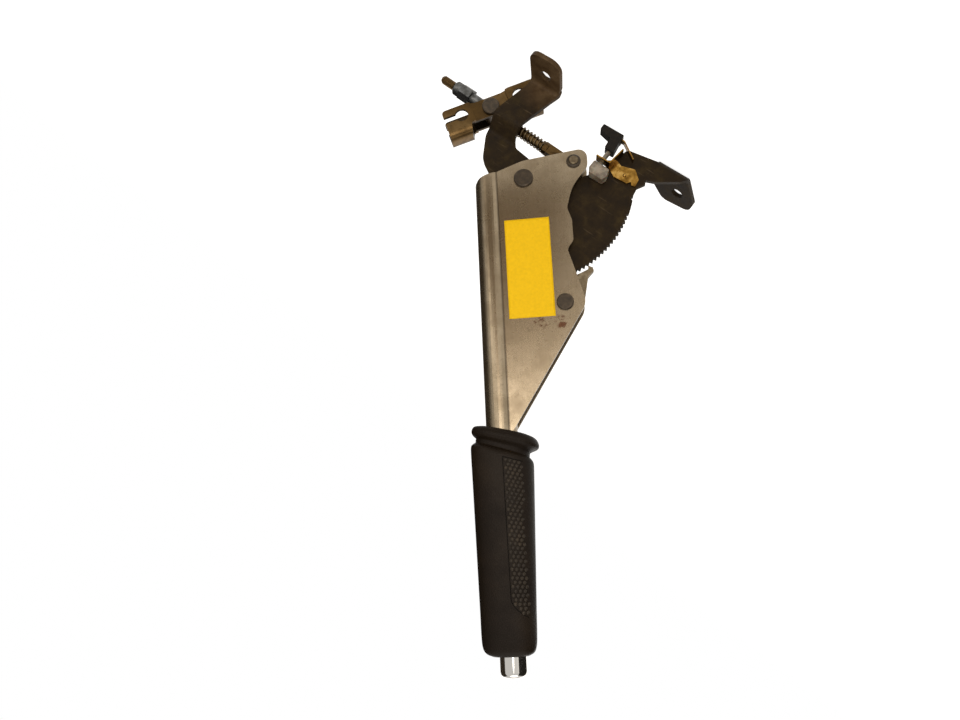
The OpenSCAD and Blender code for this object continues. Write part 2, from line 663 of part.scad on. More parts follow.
module button() color("#c9c9c9") lever_frame() translate([0, 0, spine_v]) {
    nose = grip_end + button_out;
    back = tube_end - button_in;
    round_r = 3;
    turned_x() polygon(concat([[push_r + fit, back], [button_r, back]],
        [for (i = [0:6]) [button_r - round_r + round_r * cos(15 * i), nose - round_r + round_r * sin(15 * i)]],
        [[0, nose], [0, tube_end - push_end + fit], [push_r + fit, tube_end - push_end + fit]]));
}

module button_spring() color("#8a8378") lever_frame() translate([0, 0, spine_v])
    coil(guide_end + fit, tube_end - button_in - fit, push_r + 2 * button_wire, 8, button_wire);

module pull_rod() color(gold) rod_frame() {
    eye_t = 2 * (lever_in - 4 * gap);
    neck_w = 2 * rod_r + 0.6;
    difference() {
        union() {
            across([0, 0], eye_r, -eye_t / 2, eye_t / 2);
            slab(neck_w) polygon([[0, -eye_r + 0.8], [eye_r + 3, -neck_w / 2], [spring_seat, -neck_w / 2],
                [spring_seat, neck_w / 2], [eye_r + 3, neck_w / 2], [0, eye_r - 0.8]]);
            turned_x() polygon([[0, eye_r], [rod_r, eye_r], [rod_r, rod_len - 1.5], [rod_r - 1, rod_len],
                [0, rod_len]]);
            turned_x() polygon([[0, spring_seat - 3], [spring_r + spring_wire / 2, spring_seat - 3],
                [spring_r + spring_wire / 2, spring_seat], [0, spring_seat]]);
        }
        across([0, 0], clevis_r + fit, -lever_w, lever_w);
    }
}

module rod_spring() color("#6b5a3a") rod_frame()
    coil(spring_seat + fit, trunnion_s - trunnion_r - fit, spring_r, 15, spring_wire);

// Cross pin through the equaliser that the pull rod passes through
module trunnion() color("#4d4439") rod_frame() translate([trunnion_s, 0, 0]) difference() {
    body = recess_in - gap / 2;
    journal = trunnion_r - 2;
    head = recess_out + gap / 2;
    rim = 0.4;
    half = [[0, head + head_h], [trunnion_head_r - rim, head + head_h], [trunnion_head_r, head + head_h - rim],
        [trunnion_head_r, head], [journal, head], [journal, body], [trunnion_r, body]];
    turned_y([0, 0]) polygon(concat(half, [for (i = [len(half) - 1:-1:0]) [half[i].x, -half[i].y]]));
    rotate([0, 90, 0]) cylinder(r = rod_r + fit, h = 4 * trunnion_r, center = true);
}

// Long adjusting nut: a sleeve that bears on the trunnion, a hexagon and a locking collar
module adjuster_nut() color("#8b8d8e") rod_frame() difference() {
    sleeve_r = recess_in - 2 * gap;
    sleeve = trunnion_s + trunnion_r + gap / 2;
    hex_start = rod_len - 11.5 - 5.5 - nut_len;
    collar_r = 0.48 * nut_flats;
    union() {
        translate([sleeve, 0, 0]) rotate([0, 90, 0]) cylinder(r = sleeve_r, h = hex_start - sleeve + 1);
        translate([hex_start, 0, 0]) rotate([0, 90, 0])
            cylinder(r = nut_flats / 2 / cos(30), h = nut_len, $fn = 6);
        translate([hex_start + nut_len - 1, 0, 0]) turned_x() polygon([[0, 0], [collar_r, 0],
            [collar_r, 5.5], [collar_r - 1, 6.5], [0, 6.5]]);
    }
    translate([sleeve - 1, 0, 0]) rotate([0, 90, 0]) cylinder(r = rod_r + fit, h = rod_len);
}

// U section of the raised ends of the equaliser, open towards the rear
module equaliser_section(out) {
    fold = equaliser_w - equaliser_back - equaliser_out;
    difference() {
        union() {
            translate([-out, -equaliser_back]) square([2 * out, fold + equaliser_back]);
            translate([0, fold]) circle(out);
        }
        translate([0, fold]) circle(out - equaliser_sheet);
        translate([-out + equaliser_sheet, -equaliser_back - 1])
            square([2 * (out - equaliser_sheet), fold + equaliser_back + 1]);
    }
}

module equaliser() color(gold) equaliser_frame() {
    half = equaliser_len / 2;
    mid = recess_w / 2;
    waist_q = equaliser_w - equaliser_back - 6.5;
    nipple = [half - nipple_in, -0.1 * equaliser_back];
    edge = rounded([[-half, -equaliser_back, 2.5], [-mid - 2, -equaliser_back, 0],
        [-mid + 3, -equaliser_back + 1.2, 2], [mid - 3, -equaliser_back + 1.2, 2],
        [mid + 2, -equaliser_back, 0], [half, -equaliser_back, 2.5], [half, equaliser_w, 2],
        [mid + 6, equaliser_w, 0], [mid + 5, waist_q + 6.5, 0], [mid + 3, waist_q, 2], [-mid - 3, waist_q, 2],
        [-mid - 5, waist_q + 6.5, 0], [-mid - 6, equaliser_w, 0], [-half, equaliser_w, 2]]);
    intersection() {
        difference() {
            union() {
                for (end = [-1, 1]) {
                    along_x(min(end * half, end * mid), max(end * half, end * mid))
                        equaliser_section(equaliser_out);
                }
                for (side = [-1, 1]) {
                    slab(equaliser_sheet, side * (recess_out - equaliser_sheet / 2))
                        translate([-mid - 1.5, -equaliser_back]) square([2 * mid + 3, waist_q + equaliser_back]);
                    for (end = [-1, 1]) {
                        slab(equaliser_out - recess_in, side * (equaliser_out + recess_in) / 2)
                            translate([end * (mid + 0.75) - 0.75, -equaliser_back])
                            square([1.5, waist_q + equaliser_back]);
                    }
                }
            }
            across([0, 0], trunnion_r - 2 + fit, -lever_w, lever_w);
            for (end = [-1, 1]) {
                across([end * nipple.x, nipple.y], nipple_r, -lever_w, lever_w);
                slab(3 * lever_w) translate([end * (nipple.x + half / 2), nipple.y])
                    square([half, cable_slot], center = true);
            }
        }
        slab(3 * lever_w) polygon(edge);
    }
}

// Brass clip of the warning switch: a tab on the sector, a shelf for the plunger and a spring leg
module switch_bracket() color(brass_tint) {
    face = sheet / 2;
    corner_x = switch_x + 5.4;
    tab_x = corner_x + tab_reach;
    tab_top = shelf_z + 4;
    leg = strip(bent([[corner_x - 10, shelf_z], [corner_x, shelf_z, 0.8],
        [corner_x + 1.8, shelf_z - 12.5]]), brass);
    difference() {
        union() {
            slab(switch_w, switch_y - 0.2) polygon(leg);
            slab(brass, face + brass / 2) polygon([[corner_x - 9, shelf_z - 0.3], [corner_x + 1, shelf_z - 7],
                [tab_x, shelf_z - 5], [tab_x, tab_top], [corner_x, shelf_z + 0.3]]);
            slab(2 * brass, face + brass) polygon(rounded([[tab_x, shelf_z - 5, 0.5],
                [tab_x + 8.4, shelf_z - 7.6, 1.5], [tab_x + 14.2, shelf_z - 2.8, 1.2],
                [tab_x + 15, shelf_z + 2.4, 0.6], [tab_x + 12.4, shelf_z + 3, 0.6],
                [tab_x + 11, shelf_z + 0.8, 0.6], [tab_x + 9.3, tab_top - 0.6, 1], [tab_x, tab_top, 0.5]]));
            translate([tab_x + 5, face + 2 * brass, shelf_z - 0.4]) sphere(r = 1.2, $fn = 32);
        }
        translate([switch_x, switch_y, shelf_z - 4]) cylinder(r = stem_r + gap, h = 8);
        translate([tab_x, -2 * sheet + face, shelf_z - 9]) cube([16, 2 * sheet, 18]);
    }
}

// Black insulator below the shelf, a cross bar on a sleeve for the plunger stem
module switch_insulator() color("#24211f") {
    sleeve_top = shelf_z - 7;
    difference() {
        union() {
            slab(switch_w, switch_y) polygon(rounded([[switch_x - 13.2, 3.4, 0.8], [switch_x + 2.4, 3.4, 0.8],
                [switch_x + 2.4, 8, 0.8], [switch_x - 4, 9.6, 2], [switch_x - 13.2, 7.6, 0.8]]));
            slab(switch_w, switch_y) polygon(rounded([[switch_x - 4.4, 7, 0], [switch_x + 2, 7, 0],
                [switch_x + 3.4, sleeve_top, 0.8], [switch_x - 3.4, sleeve_top, 0.8]]));
        }
        translate([switch_x, switch_y, stem_floor]) cylinder(r = stem_r + fit, h = shelf_z);
    }
}

// Brass terminal blade at the end of the insulator
module switch_terminal() color(brass_tint) {
    x = switch_x + 2.4 + fit;
    slab(switch_w - 2.4, switch_y) polygon(strip(bent([[x, 6], [x + 2, 6, 1], [x + 13.8, 13.6]]), brass));
}

// White nylon plunger, hollow from below for its spring, with a stem through the shelf
module switch_plunger() color("#d9d6cf") {
    low = shelf_top + plunger_travel + gap;
    stem_low = stem_floor + plunger_travel + gap;
    difference() {
        slab(switch_w - 0.4, switch_y) polygon(rounded([[switch_x - 3.6, low, 1],
            [switch_x + 8, low + 0.6, 1], [switch_x + 9.2, plunger_top - 3.2, 1.5],
            [switch_x + 7.8, plunger_top, 1], [switch_x - 2, plunger_top, 1.5],
            [switch_x - 3.8, plunger_top - 3, 1]]));
        translate([switch_x, switch_y, low - 2]) cylinder(r = switch_w / 2 - 0.7, h = 7);
    }
    translate([switch_x, switch_y, stem_low]) cylinder(r = stem_r, h = plunger_top - 2 - stem_low);
}

module plunger_spring() color("#8a8378") {
    wire_d = 0.5;
    translate([switch_x, switch_y, 0]) rotate([0, -90, 0])
        coil(shelf_top + fit, shelf_top + plunger_travel + gap + 5 - fit, stem_r + 0.65, 6, wire_d, 10);
}

base_bracket();
pivot_bush();
switch_bracket();
switch_insulator();
switch_terminal();
switch_plunger();
plunger_spring();
lever_arm();
pivot_pin();
pawl_pin();
pawl_spacers();
pawl_spring();
pawl();
clevis_pin();
clevis_clip();
grip();
rod_guide();
push_rod();
button();
button_spring();
pull_rod();
rod_spring();
trunnion();
adjuster_nut();
equaliser();
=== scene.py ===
# %% [markdown]
# # Dressing a parking brake lever
# The imported solids come in as a fixed frame, in metres. Everything made below sits on that frame,
# so a place is given by the lever's own sizes and never by eye.

# %% Load the frame
import json
import math
import bmesh
import bpy
from mathutils import Matrix, Vector


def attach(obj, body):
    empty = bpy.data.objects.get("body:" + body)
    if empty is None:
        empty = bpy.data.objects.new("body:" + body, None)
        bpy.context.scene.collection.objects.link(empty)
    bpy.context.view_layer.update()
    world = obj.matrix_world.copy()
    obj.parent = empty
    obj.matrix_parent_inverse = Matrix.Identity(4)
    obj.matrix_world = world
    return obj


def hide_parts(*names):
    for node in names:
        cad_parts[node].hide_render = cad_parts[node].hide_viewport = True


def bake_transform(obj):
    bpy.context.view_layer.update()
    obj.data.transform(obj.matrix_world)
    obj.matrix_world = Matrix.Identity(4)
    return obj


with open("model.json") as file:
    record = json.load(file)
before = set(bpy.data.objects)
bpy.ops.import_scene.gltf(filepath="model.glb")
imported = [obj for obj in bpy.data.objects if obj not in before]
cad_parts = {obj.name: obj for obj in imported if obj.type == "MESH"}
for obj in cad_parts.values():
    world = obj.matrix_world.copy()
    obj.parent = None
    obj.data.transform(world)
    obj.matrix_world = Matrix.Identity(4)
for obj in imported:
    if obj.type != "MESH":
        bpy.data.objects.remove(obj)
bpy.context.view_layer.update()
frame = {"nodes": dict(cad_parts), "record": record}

MM = 0.001

# %% [markdown]
# ## The lever's own directions
# The lever stands at an angle, so its pieces are easier to place in its own frame: u runs from
# the pivot towards the button, h across the car and v from the pivot towards the spine. The pull
# rod gets the same treatment: s runs along it from the clevis pin to its threaded end. Sizes are
# in millimetres and are those of the solids.

# %% Frames of the lever and of the pull rod
LEVER_ANGLE = math.radians(50.6)
PIVOT = Vector((-27.8, 0.0, 63.0))
ALONG = Vector((math.cos(LEVER_ANGLE), 0.0, math.sin(LEVER_ANGLE)))
RISE = Vector((-math.sin(LEVER_ANGLE), 0.0, math.cos(LEVER_ANGLE)))
ACROSS = Vector((0.0, 1.0, 0.0))
SPINE_V = 22.5
FLANK_H = 8.0


def on_lever(u, h, v):
    """Point of the part's frame in metres, from a place on the lever in millimetres."""
    return (PIVOT + ALONG * u + ACROSS * h + RISE * v) * MM


CLEVIS_U, CLEVIS_V = -8.8, -32.7
CLEVIS = on_lever(CLEVIS_U, 0.0, CLEVIS_V) / MM
ROD_ANGLE = math.radians(183.0)
ROD_ALONG = Vector((math.cos(ROD_ANGLE), 0.0, math.sin(ROD_ANGLE)))
ROD_RISE = Vector((-math.sin(ROD_ANGLE), 0.0, math.cos(ROD_ANGLE)))


def on_rod(s, h, w):
    """Point of the part's frame in metres, from a place on the pull rod in millimetres."""
    return (CLEVIS + ROD_ALONG * s + ACROSS * h + ROD_RISE * w) * MM


print("clevis pin at", [round(c, 2) for c in CLEVIS], "mm")

# %% [markdown]
# ## Starting a finish
# Every finish reads Object coordinates, which here are the part's own millimetres once they are
# scaled, so a pattern's size is a real size. One function adds a node with its settings and
# links, a second starts a material and a third links what was made to the shader.

# %% Helpers for finishes


def linear(code):
    """Linear colour of an sRGB hex value."""
    parts = [int(code[i:i + 2], 16) / 255 for i in (1, 3, 5)]
    return (*[c / 12.92 if c <= 0.04045 else ((c + 0.055) / 1.055) ** 2.4 for c in parts], 1.0)


def add(tree, kind, inputs=(), stops=(), **settings):
    """Adds one node with its settings, its (place, hex) stops if it is a ramp, and its inputs."""
    made = tree.nodes.new(kind)
    for key, value in settings.items():
        setattr(made, key, value)
    for i, (where, code) in enumerate(stops):
        points = made.color_ramp.elements
        point = points[i] if i < 2 else points.new(where)
        point.position, point.color = where, linear(code)
    for key, value in dict(inputs).items():
        if isinstance(value, bpy.types.NodeSocket):
            tree.links.new(value, made.inputs[key])
        else:
            made.inputs[key].default_value = value
    return made


def start_finish(name, metallic, turn=0.0, **sockets):
    """A material with its shader and its coordinates in millimetres, turned about Y."""
    material = bpy.data.materials.new(name)
    material.use_nodes = True
    tree = material.node_tree
    shader = tree.nodes["Principled BSDF"]
    shader.inputs["Metallic"].default_value = metallic
    for key, value in sockets.items():
        shader.inputs[key.replace("_", " ")].default_value = value
    place = add(tree, "ShaderNodeTexCoord")
    scaled = add(tree, "ShaderNodeMapping",
                 {"Vector": place.outputs["Object"], "Scale": (1 / MM, 1 / MM, 1 / MM),
                  "Rotation": (0.0, turn, 0.0)})
    return material, tree, shader, scaled.outputs["Vector"]


def give(tree, shader, **outputs):
    """Links outputs to the shader's sockets, each named with _ for a space."""
    for key, output in outputs.items():
        tree.links.new(output, shader.inputs[key.replace("_", " ")])


print("half of white is", [round(c, 3) for c in linear("#808080")], "in linear light")

# %% [markdown]
# ## Bare lever steel
# The arm is pressed from cold-rolled sheet and left bare. Years of grease and handling give it a
# warm grey tone, brown clouds some 15 mm wide, faint lines along the sheet and a satin sheen. The
# lines run along the lever, so the coordinates are turned by the lever's angle and stretched.

# %% Lever steel: clouds, stains and lines
lever_steel, tree, shader, mm = start_finish("bare_cold_rolled_steel", 0.9, turn=LEVER_ANGLE)
clouds = add(tree, "ShaderNodeTexNoise",
             {"Vector": mm, "Scale": 1 / 15, "Detail": 6.0, "Roughness": 0.62})
tone = add(tree, "ShaderNodeValToRGB", {"Fac": clouds.outputs["Fac"]},
           stops=[(0.3, "#726450"), (0.48, "#7e705b"), (0.62, "#887a65"), (0.75, "#796b56")])
specks = add(tree, "ShaderNodeTexNoise",
             {"Vector": mm, "Scale": 1 / 2.2, "Detail": 4.0, "Roughness": 0.7})
stain = add(tree, "ShaderNodeMapRange",
            {"Value": specks.outputs["Fac"], "From Min": 0.6, "From Max": 0.78, "To Min": 0.0,
             "To Max": 0.55})
stained = add(tree, "ShaderNodeMix",
              {"Factor": stain.outputs["Result"], "A": tone.outputs["Color"],
               "B": linear("#473624")}, data_type="RGBA")
drawn = add(tree, "ShaderNodeMapping", {"Vector": mm, "Scale": (0.02, 1.0, 1.0)})
lines = add(tree, "ShaderNodeTexNoise",
            {"Vector": drawn.outputs["Vector"], "Scale": 1.1, "Detail": 3.0})
streak = add(tree, "ShaderNodeMapRange",
             {"Value": lines.outputs["Fac"], "To Min": 0.9, "To Max": 1.1})
streaked = add(tree, "ShaderNodeVectorMath",
               {0: stained.outputs["Result"], "Scale": streak.outputs["Result"]}, operation="SCALE")
sheen = add(tree, "ShaderNodeMapRange",
            {"Value": clouds.outputs["Fac"], "From Min": 0.3, "From Max": 0.7, "To Min": 0.31,
             "To Max": 0.23})
grain = add(tree, "ShaderNodeBump",
            {"Height": lines.outputs["Fac"], "Strength": 0.08, "Distance": 0.00003})
print("clouds and lines on", lever_steel.name)

# %% [markdown]
# ## Painted crease shade and rust on the lever
# A dark line of painted shade follows the crease where the round spine meets the flank, at one
# height above the pivot. A few flecks of rust have started in two places beside the pawl rivet: a
# noise that only passes its threshold within some 8 mm of each.

# %% Lever steel: painted crease shade and rust
CREASE_V = 17.4
RUST_SPOTS = ((98.5, -18.5), (97.5, -5.0))
height = add(tree, "ShaderNodeSeparateXYZ", {"Vector": mm})
above_crease = add(tree, "ShaderNodeMath",
                   {0: height.outputs["Z"], 1: PIVOT.dot(RISE) + CREASE_V}, operation="SUBTRACT")
from_crease = add(tree, "ShaderNodeMath", {0: above_crease.outputs["Value"]}, operation="ABSOLUTE")
# Painted shade: within 0.9 mm of the crease's line the tone is darkened towards #2c2217.
crease_shade = add(tree, "ShaderNodeMapRange",
           {"Value": from_crease.outputs["Value"], "From Min": 0.25, "From Max": 0.9,
            "To Min": 0.62, "To Max": 0.0})
crease_shaded = add(tree, "ShaderNodeMix",
             {"Factor": crease_shade.outputs["Result"], "A": streaked.outputs["Vector"],
              "B": linear("#2c2217")}, data_type="RGBA")
rust_spots = [add(tree, "ShaderNodeVectorMath",
                  {0: mm, 1: (PIVOT.dot(ALONG) + u, FLANK_H, PIVOT.dot(RISE) + v)},
                  operation="DISTANCE") for u, v in RUST_SPOTS]
near_rivet = add(tree, "ShaderNodeMath",
                 {i: spot.outputs["Value"] for i, spot in enumerate(rust_spots)},
                 operation="MINIMUM")
reach = add(tree, "ShaderNodeMapRange",
            {"Value": near_rivet.outputs["Value"], "From Min": 2.0, "From Max": 10.0,
             "To Min": 0.36, "To Max": 0.0})
flecks = add(tree, "ShaderNodeTexNoise",
             {"Vector": mm, "Scale": 1 / 3.2, "Detail": 6.0, "Roughness": 0.75})
rusty = add(tree, "ShaderNodeMath",
            {0: flecks.outputs["Fac"], 1: reach.outputs["Result"]}, operation="ADD")
rust = add(tree, "ShaderNodeMapRange",
           {"Value": rusty.outputs["Value"], "From Min": 0.78, "From Max": 0.86, "To Min": 0.0,
            "To Max": 0.85})
rusted = add(tree, "ShaderNodeMix",
             {"Factor": rust.outputs["Result"], "A": crease_shaded.outputs["Result"],
              "B": linear("#4a2410")}, data_type="RGBA")
give(tree, shader, Base_Color=rusted.outputs["Result"], Roughness=sheen.outputs["Result"],
     Normal=grain.outputs["Normal"])
print("rust spots on", lever_steel.name, len(rust_spots))

# %% [markdown]
# ## Phosphated bracket steel
# The bracket is stamped from thick sheet and phosphated, then oiled: brown-black, slightly
# mottled, with a soft gloss and fine scuffs where the lever and fingers rub it. Scuffs are a
# stretched noise cut high, so that only a few thin marks are left. The rear foot is paler around
# its bolt hole.

# %% Bracket phosphate
REAR_FOOT = (-53.35, 24.0, 2.0)
phosphate, tree, shader, mm = start_finish("oiled_phosphate_on_steel", 0.0, Specular_IOR_Level=0.08)
mottle = add(tree, "ShaderNodeTexNoise",
             {"Vector": mm, "Scale": 1 / 9, "Detail": 7.0, "Roughness": 0.65})
tone = add(tree, "ShaderNodeValToRGB", {"Fac": mottle.outputs["Fac"]},
           stops=[(0.3, "#191108"), (0.5, "#251b0d"), (0.66, "#322714"), (0.8, "#41351f")])
stroked = add(tree, "ShaderNodeMapping",
              {"Vector": mm, "Rotation": (0.0, 0.9, 0.0), "Scale": (0.08, 0.6, 1.0)})
marks = add(tree, "ShaderNodeTexNoise",
            {"Vector": stroked.outputs["Vector"], "Scale": 0.9, "Detail": 5.0})
scuff = add(tree, "ShaderNodeMapRange",
            {"Value": marks.outputs["Fac"], "From Min": 0.64, "From Max": 0.76, "To Min": 0.0,
             "To Max": 0.5})
scuffed = add(tree, "ShaderNodeMix",
              {"Factor": scuff.outputs["Result"], "A": tone.outputs["Color"],
               "B": linear("#5c4e3c")}, data_type="RGBA")
from_foot = add(tree, "ShaderNodeVectorMath", {0: mm, 1: REAR_FOOT}, operation="DISTANCE")
near_rear_foot = add(tree, "ShaderNodeMapRange",
            {"Value": from_foot.outputs["Value"], "From Min": 14.0, "From Max": 24.0, "To Min": 0.7,
             "To Max": 0.0})
pale_foot_tones = add(tree, "ShaderNodeValToRGB", {"Fac": mottle.outputs["Fac"]},
            stops=[(0.35, "#4a3723"), (0.55, "#5e4a33"), (0.75, "#77624a")])
paler_rear_foot = add(tree, "ShaderNodeMix",
              {"Factor": near_rear_foot.outputs["Result"], "A": scuffed.outputs["Result"],
               "B": pale_foot_tones.outputs["Color"]}, data_type="RGBA")
gloss = add(tree, "ShaderNodeMapRange",
            {"Value": mottle.outputs["Fac"], "From Min": 0.3, "From Max": 0.75, "To Min": 0.42,
             "To Max": 0.62})
pits = add(tree, "ShaderNodeTexNoise", {"Vector": mm, "Scale": 1 / 0.9, "Detail": 3.0})
skin = add(tree, "ShaderNodeBump",
           {"Height": pits.outputs["Fac"], "Strength": 0.25, "Distance": 0.00006})
give(tree, shader, Base_Color=paler_rear_foot.outputs["Result"], Roughness=gloss.outputs["Result"],
     Normal=skin.outputs["Normal"])
print("finish:", phosphate.name)

# %% [markdown]
# ## Dark rivets, plain machined steel and spring wire
# Rivets are cold-headed and blackened. The pawl and the push rod are plain steel, duller than the
# arm, and the nut is zinc plated. Spring wire is drawn and oily. They share a build: a tone, a
# mottle of a few millimetres and a roughness that follows it.

# %% Small steel finishes


def small_steel(name, dark, mid, light, size, rough, metallic=0.8):
    """A mottled metal of three tones, with its mottle's size in millimetres."""
    material, tree, shader, mm = start_finish(name, metallic)
    mottle = add(tree, "ShaderNodeTexNoise",
                 {"Vector": mm, "Scale": 1 / size, "Detail": 6.0, "Roughness": 0.6})
    tone = add(tree, "ShaderNodeValToRGB",
               {"Fac": mottle.outputs["Fac"]}, stops=[(0.3, dark), (0.5, mid), (0.7, light)])
    polish = add(tree, "ShaderNodeMapRange",
                 {"Value": mottle.outputs["Fac"], "From Min": 0.3, "From Max": 0.7,
                  "To Min": rough + 0.1, "To Max": rough - 0.06})
    pits = add(tree, "ShaderNodeBump",
               {"Height": mottle.outputs["Fac"], "Strength": 0.2, "Distance": 0.00008})
    give(tree, shader, Base_Color=tone.outputs["Color"], Roughness=polish.outputs["Result"],
         Normal=pits.outputs["Normal"])
    return material


rivet_black = small_steel("blackened_rivet_steel", "#261d11", "#332819", "#433626", 2.5, 0.42, 0.5)
plain_steel = small_steel("plain_machined_steel", "#4c3f2e", "#665944", "#81755f", 4.0, 0.42)
nut_zinc = small_steel("clear_zinc_on_steel", "#373734", "#4c4b48", "#666665", 3.0, 0.34, 0.85)
spring_wire = small_steel("oiled_spring_wire", "#3c3122", "#5a4a33", "#80704f", 2.0, 0.36)
print("finishes:", rivet_black.name, plain_steel.name, nut_zinc.name, spring_wire.name)

# %% [markdown]
# ## Gold passivated zinc
# The equaliser and the pull rod are zinc plated and passivated, which gives a gold film that
# drifts between straw, olive and a little rose. Two noises drive it: a wide one for the drift and
# a finer one for dirt. The equaliser is a folded channel, and its inside, between its two walls
# and below its fold, is darkened with painted shade.

# %% Gold zinc
TRUNNION = on_rod(69.5, 0.0, 0.0) / MM
CHANNEL_ALONG, CHANNEL_DEEP = Vector((0.5592, 0.0, -0.8290)), Vector((0.8290, 0.0, 0.5592))
INNER_WALL, OUTER_WALL = 5.6, 6.2
INNER_FOLD = TRUNNION.dot(CHANNEL_DEEP) + 10.3


def passivated(name, shaded_inside):
    """Gold zinc, with painted shade on the inside of the channel where it is asked for."""
    material, tree, shader, mm = start_finish(name, 0.9)
    drift = add(tree, "ShaderNodeTexNoise",
                {"Vector": mm, "Scale": 1 / 22, "Detail": 4.0, "Roughness": 0.55})
    film = add(tree, "ShaderNodeValToRGB", {"Fac": drift.outputs["Fac"]},
               stops=[(0.28, "#33240e"), (0.45, "#463317"), (0.58, "#584427"), (0.72, "#402e14")])
    dirt = add(tree, "ShaderNodeTexNoise",
               {"Vector": mm, "Scale": 1 / 4, "Detail": 6.0, "Roughness": 0.68})
    grime = add(tree, "ShaderNodeMapRange",
                {"Value": dirt.outputs["Fac"], "From Min": 0.52, "From Max": 0.74, "To Min": 0.0,
                 "To Max": 0.6})
    tone = add(tree, "ShaderNodeMix",
               {"Factor": grime.outputs["Result"], "A": film.outputs["Color"],
                "B": linear("#2d200c")}, data_type="RGBA")
    if shaded_inside:
        sides = add(tree, "ShaderNodeSeparateXYZ", {"Vector": mm})
        from_middle = add(tree, "ShaderNodeMath", {0: sides.outputs["Y"]}, operation="ABSOLUTE")
        between = add(tree, "ShaderNodeMapRange",
                      {"Value": from_middle.outputs["Value"], "From Min": INNER_WALL,
                       "From Max": OUTER_WALL, "To Min": 1.0, "To Max": 0.0})
        depth = add(tree, "ShaderNodeVectorMath",
                    {0: mm, 1: tuple(CHANNEL_DEEP)}, operation="DOT_PRODUCT")
        inside = add(tree, "ShaderNodeMapRange",
                     {"Value": depth.outputs["Value"], "From Min": INNER_FOLD,
                      "From Max": INNER_FOLD + 0.7, "To Min": 0.85, "To Max": 0.0})
        # Painted shade: between the two walls and inside the inner fold the gold is mixed towards
        # near-black #120d06.
        channel_shade = add(tree, "ShaderNodeMath",
                     {0: between.outputs["Result"], 1: inside.outputs["Result"]},
                     operation="MULTIPLY")
        tone = add(tree, "ShaderNodeMix",
                   {"Factor": channel_shade.outputs["Value"], "A": tone.outputs["Result"],
                    "B": linear("#120d06")}, data_type="RGBA")
    polish = add(tree, "ShaderNodeMapRange",
                 {"Value": dirt.outputs["Fac"], "From Min": 0.3, "From Max": 0.7, "To Min": 0.26,
                  "To Max": 0.42})
    give(tree, shader, Base_Color=tone.outputs["Result"], Roughness=polish.outputs["Result"])
    return material


gold_zinc = passivated("gold_passivated_zinc", False)
gold_channel = passivated("gold_zinc_shaded_inside", True)
print("finishes:", gold_zinc.name, gold_channel.name)

# %% [markdown]
# ## Brass, nylon and black plastic of the warning switch
# The clip and the blade are bright brass strip, which mirrors its surroundings, has tan stains
# and is never quite flat once it is bent: waves some 6 mm long break up what it mirrors. The
# plunger is natural nylon, greyed by grease, which lets a little light in. The insulator is a
# dull black moulding with dust on it.

# %% Switch finishes
brass_strip, tree, shader, mm = start_finish("bright_brass_strip", 1.0)
tarnish = add(tree, "ShaderNodeTexNoise",
              {"Vector": mm, "Scale": 1 / 5, "Detail": 5.0, "Roughness": 0.6})
tone = add(tree, "ShaderNodeValToRGB", {"Fac": tarnish.outputs["Fac"]},
           stops=[(0.34, "#5c4119"), (0.5, "#85632b"), (0.68, "#b08d4f")])
polish = add(tree, "ShaderNodeMapRange",
             {"Value": tarnish.outputs["Fac"], "To Min": 0.24, "To Max": 0.12})
buckled = add(tree, "ShaderNodeTexNoise", {"Vector": mm, "Scale": 1 / 6, "Detail": 1.0})
waves = add(tree, "ShaderNodeBump",
            {"Height": buckled.outputs["Fac"], "Strength": 0.4, "Distance": 0.0004})
give(tree, shader, Base_Color=tone.outputs["Color"], Roughness=polish.outputs["Result"],
     Normal=waves.outputs["Normal"])

nylon, tree, shader, mm = start_finish("natural_nylon", 0.0, IOR=1.53, Roughness=0.42,
                                       Subsurface_Weight=0.25, Subsurface_Scale=0.002)
smudges = add(tree, "ShaderNodeTexNoise",
              {"Vector": mm, "Scale": 1 / 5, "Detail": 5.0, "Roughness": 0.65})
tone = add(tree, "ShaderNodeValToRGB", {"Fac": smudges.outputs["Fac"]},
           stops=[(0.34, "#51463a"), (0.5, "#716554"), (0.66, "#938674")])
give(tree, shader, Base_Color=tone.outputs["Color"])

black_moulding, tree, shader, mm = start_finish("dull_black_moulding", 0.0, IOR=1.5,
                                                Specular_IOR_Level=0.12)
dust = add(tree, "ShaderNodeTexNoise",
           {"Vector": mm, "Scale": 1 / 3, "Detail": 6.0, "Roughness": 0.7})
tone = add(tree, "ShaderNodeValToRGB", {"Fac": dust.outputs["Fac"]},
           stops=[(0.35, "#0f0b07"), (0.55, "#17120c"), (0.75, "#282017")])
dull = add(tree, "ShaderNodeMapRange",
           {"Value": dust.outputs["Fac"], "To Min": 0.45, "To Max": 0.7})
give(tree, shader, Base_Color=tone.outputs["Color"], Roughness=dull.outputs["Result"])
print("finishes:", brass_strip.name, nylon.name, black_moulding.name)

# %% [markdown]
# ## The grip's plastic
# The grip is moulded in soft black plastic with a fine leather-like grain. Real grain is about
# 0.4 mm, too fine for the render, so it is drawn at 0.7 mm. Hands have rubbed the dots of its
# panels paler. The mould line around a panel is a fine groove whose shade is painted on a thin
# near-black wire.

